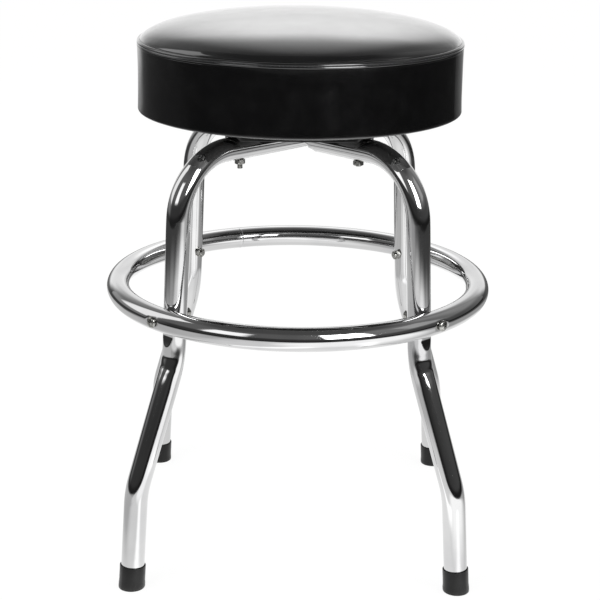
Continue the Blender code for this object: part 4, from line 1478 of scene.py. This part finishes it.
def mattWhitePaper():
    # white to the eye where nothing shades it, and clear from underneath
    material, tree = startMaterial("matt_white_paper")
    diffuse = addNode(tree, "BsdfDiffuse", {"Color": linear(studio["floorColour"])}).outputs["BSDF"]
    inputs = {"Color": (1, 1, 1, 1), "Strength": studio["floorGlow"]}
    glow = addNode(tree, "Emission", inputs).outputs["Emission"]
    share = combined(tree, "MULTIPLY", whiteRays(tree), studio["whiteShare"])
    top = addNode(tree, "MixShader", {0: share, 1: diffuse, 2: glow}).outputs["Shader"]
    below = addNode(tree, "BsdfTransparent").outputs["BSDF"]
    back = addNode(tree, "NewGeometry").outputs["Backfacing"]
    return finished(material, "MixShader", {0: back, 1: top, 2: below})


def paintedReflectionGlow():
    # painted reflection: a glow whose strength is each point's painted level of light or shade
    material, tree = startMaterial("painted_reflection_glow")
    tone = addNode(tree, "Attribute", attribute_name="tone").outputs["Fac"]
    return finished(material, "Emission", {"Color": (1, 1, 1, 1), "Strength": tone})


def stagePiece(name, points, faces, material):
    mesh = bpy.data.meshes.new(name)
    mesh.from_pydata(points, [], faces)
    mesh.materials.append(material)
    obj = linked(name, mesh)
    return obj


def strengthOf(level):
    # the light at which the chrome shows this 8-bit level
    return lightOf(level / 255) / studio["plateShare"]


def within(value, low, high, edge):
    # 1 between low and high, falling softly to 0 over the edge outside them
    return ease(max(0, 1 - max(low - value, value - high, 0) / edge))


def blend(value, stops):
    # a level between (value, level) stops
    for (a, first), (b, last) in zip(stops, stops[1:]):
        if value <= b:
            t = min(1, max(0, (value - a) / (b - a)))
            return first + (last - first) * t
    return stops[-1][1]


def evenly(start, end, step):
    return [start + step * k for k in range(round((end - start) / step) + 1)]


def mirrored(name, columns, rows, placeAt, toneAt):
    # a glowing sheet that only the chrome and the lacquer see: a painted reflection, each point with its own
    # painted level of light
    points = [placeAt(a, b) for b in rows for a in columns]
    wide = len(columns)
    faces = []
    for j in range(len(rows) - 1):
        for i in range(wide - 1):
            k = j * wide + i
            faces.append((k, k + 1, k + 1 + wide, k + wide))
    obj = stagePiece(name, points, faces, reflectionGlowFinish)
    tones = obj.data.attributes.new("tone", "FLOAT", "POINT")
    tones.data.foreach_set("value", [strengthOf(toneAt(a, b)) for b in rows for a in columns])
    obj.visible_camera = False
    obj.visible_diffuse = False
    obj.visible_transmission = False
    obj.visible_shadow = False
    obj.visible_volume_scatter = False


# Painted reflections of a studio round the stool: the light and shade that the chrome and the lacquer show,
# painted point by point on glowing sheets
room = {
    "wallReach": 2.6,
    "backdropPlace": 1.3,
    "backdropHalf": 1.3,
    "backdropFade": (0.85, 0.45),  # where its sides begin to fade, over what width
    "ceiling": 5.5,
    "ceilingLevel": 68,
    # painted reflections of soft boxes, bright patches on the walls' sheet: direction in degrees clockwise
    # from +Y, half width, lowest and highest point, level
    "softBoxReflections": (
        (-137, 12, 1.15, 2.75, 258),
        (150, 12, 1.1, 3.4, 520),
        (-73, 15, 0.85, 3.7, 234),
        (98, 12, 1.4, 3.0, 150),
    ),
    "softBoxEdges": (3, 0.12),  # how far their sides (degrees) and ends (m) fade
    # painted pools of light in the floor's reflection: x, y, reach of the flat part, length of the fall,
    # level
    "pools": (
        (0, -0.12, 0.12, 0.75, 220),
        (0.05, 0.28, 0.38, 0.35, 206),
        (0, -0.5, 0.3, 0.55, 208),
        (0.5, -0.85, 0.5, 0.7, 246),
        (0, -1.0, 0.5, 0.75, 205),
        (-0.8, -0.35, 0.45, 0.75, 170),
        (-0.55, 0.3, 0.35, 0.4, 176),
        (-0.8, -0.9, 0.4, 0.8, 150),
        (-0.68, 0.68, 0.3, 0.36, 172),
        (1.0, -0.45, 0.35, 0.6, 162),
        (0.75, 0.35, 0.3, 0.65, 142),
        (-0.1, 0.75, 0.25, 0.42, 226),
    ),
    # narrow painted sheens of the key light in the paper's reflection: from x, y to x, y, half width, level
    "sheens": ((-0.165, -0.2, 0.02, -0.4, 0.022, 262), (0.19, -0.21, 0.33, -0.45, 0.022, 262)),
    "sheenShape": (0.4, 0.03),  # how narrow each starts, and how softly it ends
    # painted level of the floor's reflection away from the pools
    "farFloor": 58,
    "floorRise": 0.0006,  # above the paper
    # painted levels of light up the backdrop's reflection by height: along its middle, on its left and right,
    # and at its edges
    "backdropCore": (0.03, 0.16, 0.62),  # middle, half width and fade of its bright middle
    "backdropMiddle": (
        (0.2, 100), (0.42, 218), (0.7, 210), (0.9, 222), (1.05, 250), (1.3, 274),
        (1.42, 250), (1.5, 228), (1.7, 188), (2.2, 160), (3.0, 132), (4, 98),
    ),
    "backdropLeft": ((0.2, 90), (0.42, 218), (0.75, 210), (1.0, 168), (1.3, 136), (1.7, 112), (4, 90)),
    "backdropRight": (
        (0.2, 76), (0.35, 92), (0.44, 214), (0.75, 210), (1.0, 160), (1.3, 132), (1.7, 112), (4, 90),
    ),
    "backdropEdge": ((0.3, 58), (0.7, 128), (1.3, 122), (4, 96)),
    # painted levels of light and shade round the walls' reflection by direction: at the floor, low down and
    # high up
    "wallBase": (
        (-180, 26), (-105, 28), (-90, 42), (-50, 48), (-40, 66), (-30, 96), (30, 50), (45, 24), (180, 22),
    ),
    "wallLow": (
        (-180, 46), (-105, 48), (-85, 104), (-40, 138), (36, 112),
        (60, 80), (75, 66), (105, 62), (125, 60), (180, 50),
    ),
    "wallHigh": ((-180, 84), (-60, 92), (-36, 122), (36, 132), (60, 122), (75, 100), (120, 110), (180, 86)),
    # from the floor up: the height at which the walls reach a share of these levels
    "wallRise": (
        (0, "wallBase", 1), (0.18, "wallBase", 1.15), (0.34, "wallLow", 1),
        (0.85, "wallLow", 1.05), (1.3, "wallHigh", 1), (3.4, "wallHigh", 1),
    ),
}


def wallTone(degrees, height):
    stops = [(z, blend(degrees, room[levels]) * share) for z, levels, share in room["wallRise"]]
    level = blend(height, [*stops, (room["ceiling"], room["ceilingLevel"])])
    sideEdge, endEdge = room["softBoxEdges"]
    for middle, half, bottom, top, tone in room["softBoxReflections"]:
        across = within(degrees, middle - half, middle + half, sideEdge)
        share = across * within(height, bottom, top, endEdge)
        level += (tone - level) * share
    return level


def floorTone(x, y):
    level = room["farFloor"]
    for px, py, reach, fall, tone in room["pools"]:
        share = within(math.hypot(x - px, y - py), 0, reach, fall)
        level = max(level, room["farFloor"] + (tone - room["farFloor"]) * share)
    narrow, edge = room["sheenShape"]
    for ax, ay, bx, by, half, tone in room["sheens"]:
        t = min(1, max(0, ((x - ax) * (bx - ax) + (y - ay) * (by - ay)) / ((bx - ax) ** 2 + (by - ay) ** 2)))
        away = math.hypot(x - ax - (bx - ax) * t, y - ay - (by - ay) * t)
        level += (tone - level) * within(away, 0, half * (narrow + t), edge + edge * t)
    return level


def backdropTone(x, height):
    inside = within(abs(x), 0, *room["backdropFade"])
    place, half, fade = room["backdropCore"]
    middle = within(abs(x - place), 0, half, fade)
    side = blend(height, room["backdropLeft" if x < 0 else "backdropRight"])
    edge = blend(height, room["backdropEdge"])
    return edge + (side + (blend(height, room["backdropMiddle"]) - side) * middle - edge) * inside


half = studio["floorHalf"]
floorPoints = [(-half, -half, 0), (half, -half, 0), (half, half, 0), (-half, half, 0)]
stagePiece("paper_floor", floorPoints, [(0, 1, 2, 3)], mattWhitePaper())
reflectionGlowFinish = paintedReflectionGlow()
wallReach, ceiling = room["wallReach"], room["ceiling"]
mirrored(
    "painted_reflection_walls",
    evenly(-180, 180, 3),
    evenly(0, ceiling, 0.1),
    lambda a, z: (wallReach * math.sin(math.radians(a)), wallReach * math.cos(math.radians(a)), z),
    wallTone,
)
floorSteps = evenly(-wallReach, wallReach, 0.02)
mirrored("painted_reflection_floor", floorSteps, floorSteps, lambda x, y: (x, y, room["floorRise"]), floorTone)
mirrored(
    "painted_reflection_backdrop",
    evenly(-room["backdropHalf"], room["backdropHalf"], 0.04),
    evenly(0, ceiling, 0.05),
    lambda x, z: (x, room["backdropPlace"], z),
    backdropTone,
)
mirrored(
    "painted_reflection_ceiling",
    [-wallReach, wallReach],
    [-wallReach, wallReach],
    lambda x, y: (x, y, ceiling),
    lambda x, y: room["ceilingLevel"],
)

world = bpy.data.worlds.new("studio_world")
bpy.context.scene.world = world
world.use_nodes = True
tree = world.node_tree
tree.nodes.clear()
lights = [
    addNode(tree, "Background", {"Color": (1, 1, 1, 1), "Strength": strength}).outputs["Background"]
    for strength in (studio["worldLight"], 1)
]
seen = addNode(tree, "MixShader", {0: whiteRays(tree), 1: lights[0], 2: lights[1]})
addNode(tree, "OutputWorld", {"Surface": seen.outputs["Shader"]})
for side, (place, width, power) in studio["lamps"].items():
    light = bpy.data.lights.new("lamp_" + side, "AREA")
    light.shape = "RECTANGLE"
    light.size = width
    light.size_y = width * studio["lampShape"]
    light.energy = power
    lamp = linked("lamp_" + side, light)
    lamp.location = place
    toTarget = Vector(studio["lampTarget"]) - Vector(place)
    lamp.rotation_euler = toTarget.to_track_quat("-Z", "Y").to_euler()
    lamp.visible_glossy = False

# The camera stands where the photo was taken from
view = {"lens": 96.94, "place": (0.0028, -1.7611, 0.8264), "pitch": 0.3042, "roll": 0.0125}
ahead = Vector((0, math.cos(view["pitch"]), -math.sin(view["pitch"])))
above = Vector((0, math.sin(view["pitch"]), math.cos(view["pitch"])))
toRight = Vector((1, 0, 0))
right = toRight * math.cos(view["roll"]) + above * math.sin(view["roll"])
upward = above * math.cos(view["roll"]) - toRight * math.sin(view["roll"])
lens = bpy.data.cameras.new("camera")
lens.lens = view["lens"]
lens.sensor_width = 36
lens.clip_start = 0.05
camera = linked("camera", lens)
turnedTo = Matrix((right, upward, -ahead)).transposed().to_4x4()
camera.matrix_world = Matrix.Translation(view["place"]) @ turnedTo
bpy.context.scene.camera = camera
bpy.context.scene.view_settings.view_transform = "Standard"
print("studio and camera made")
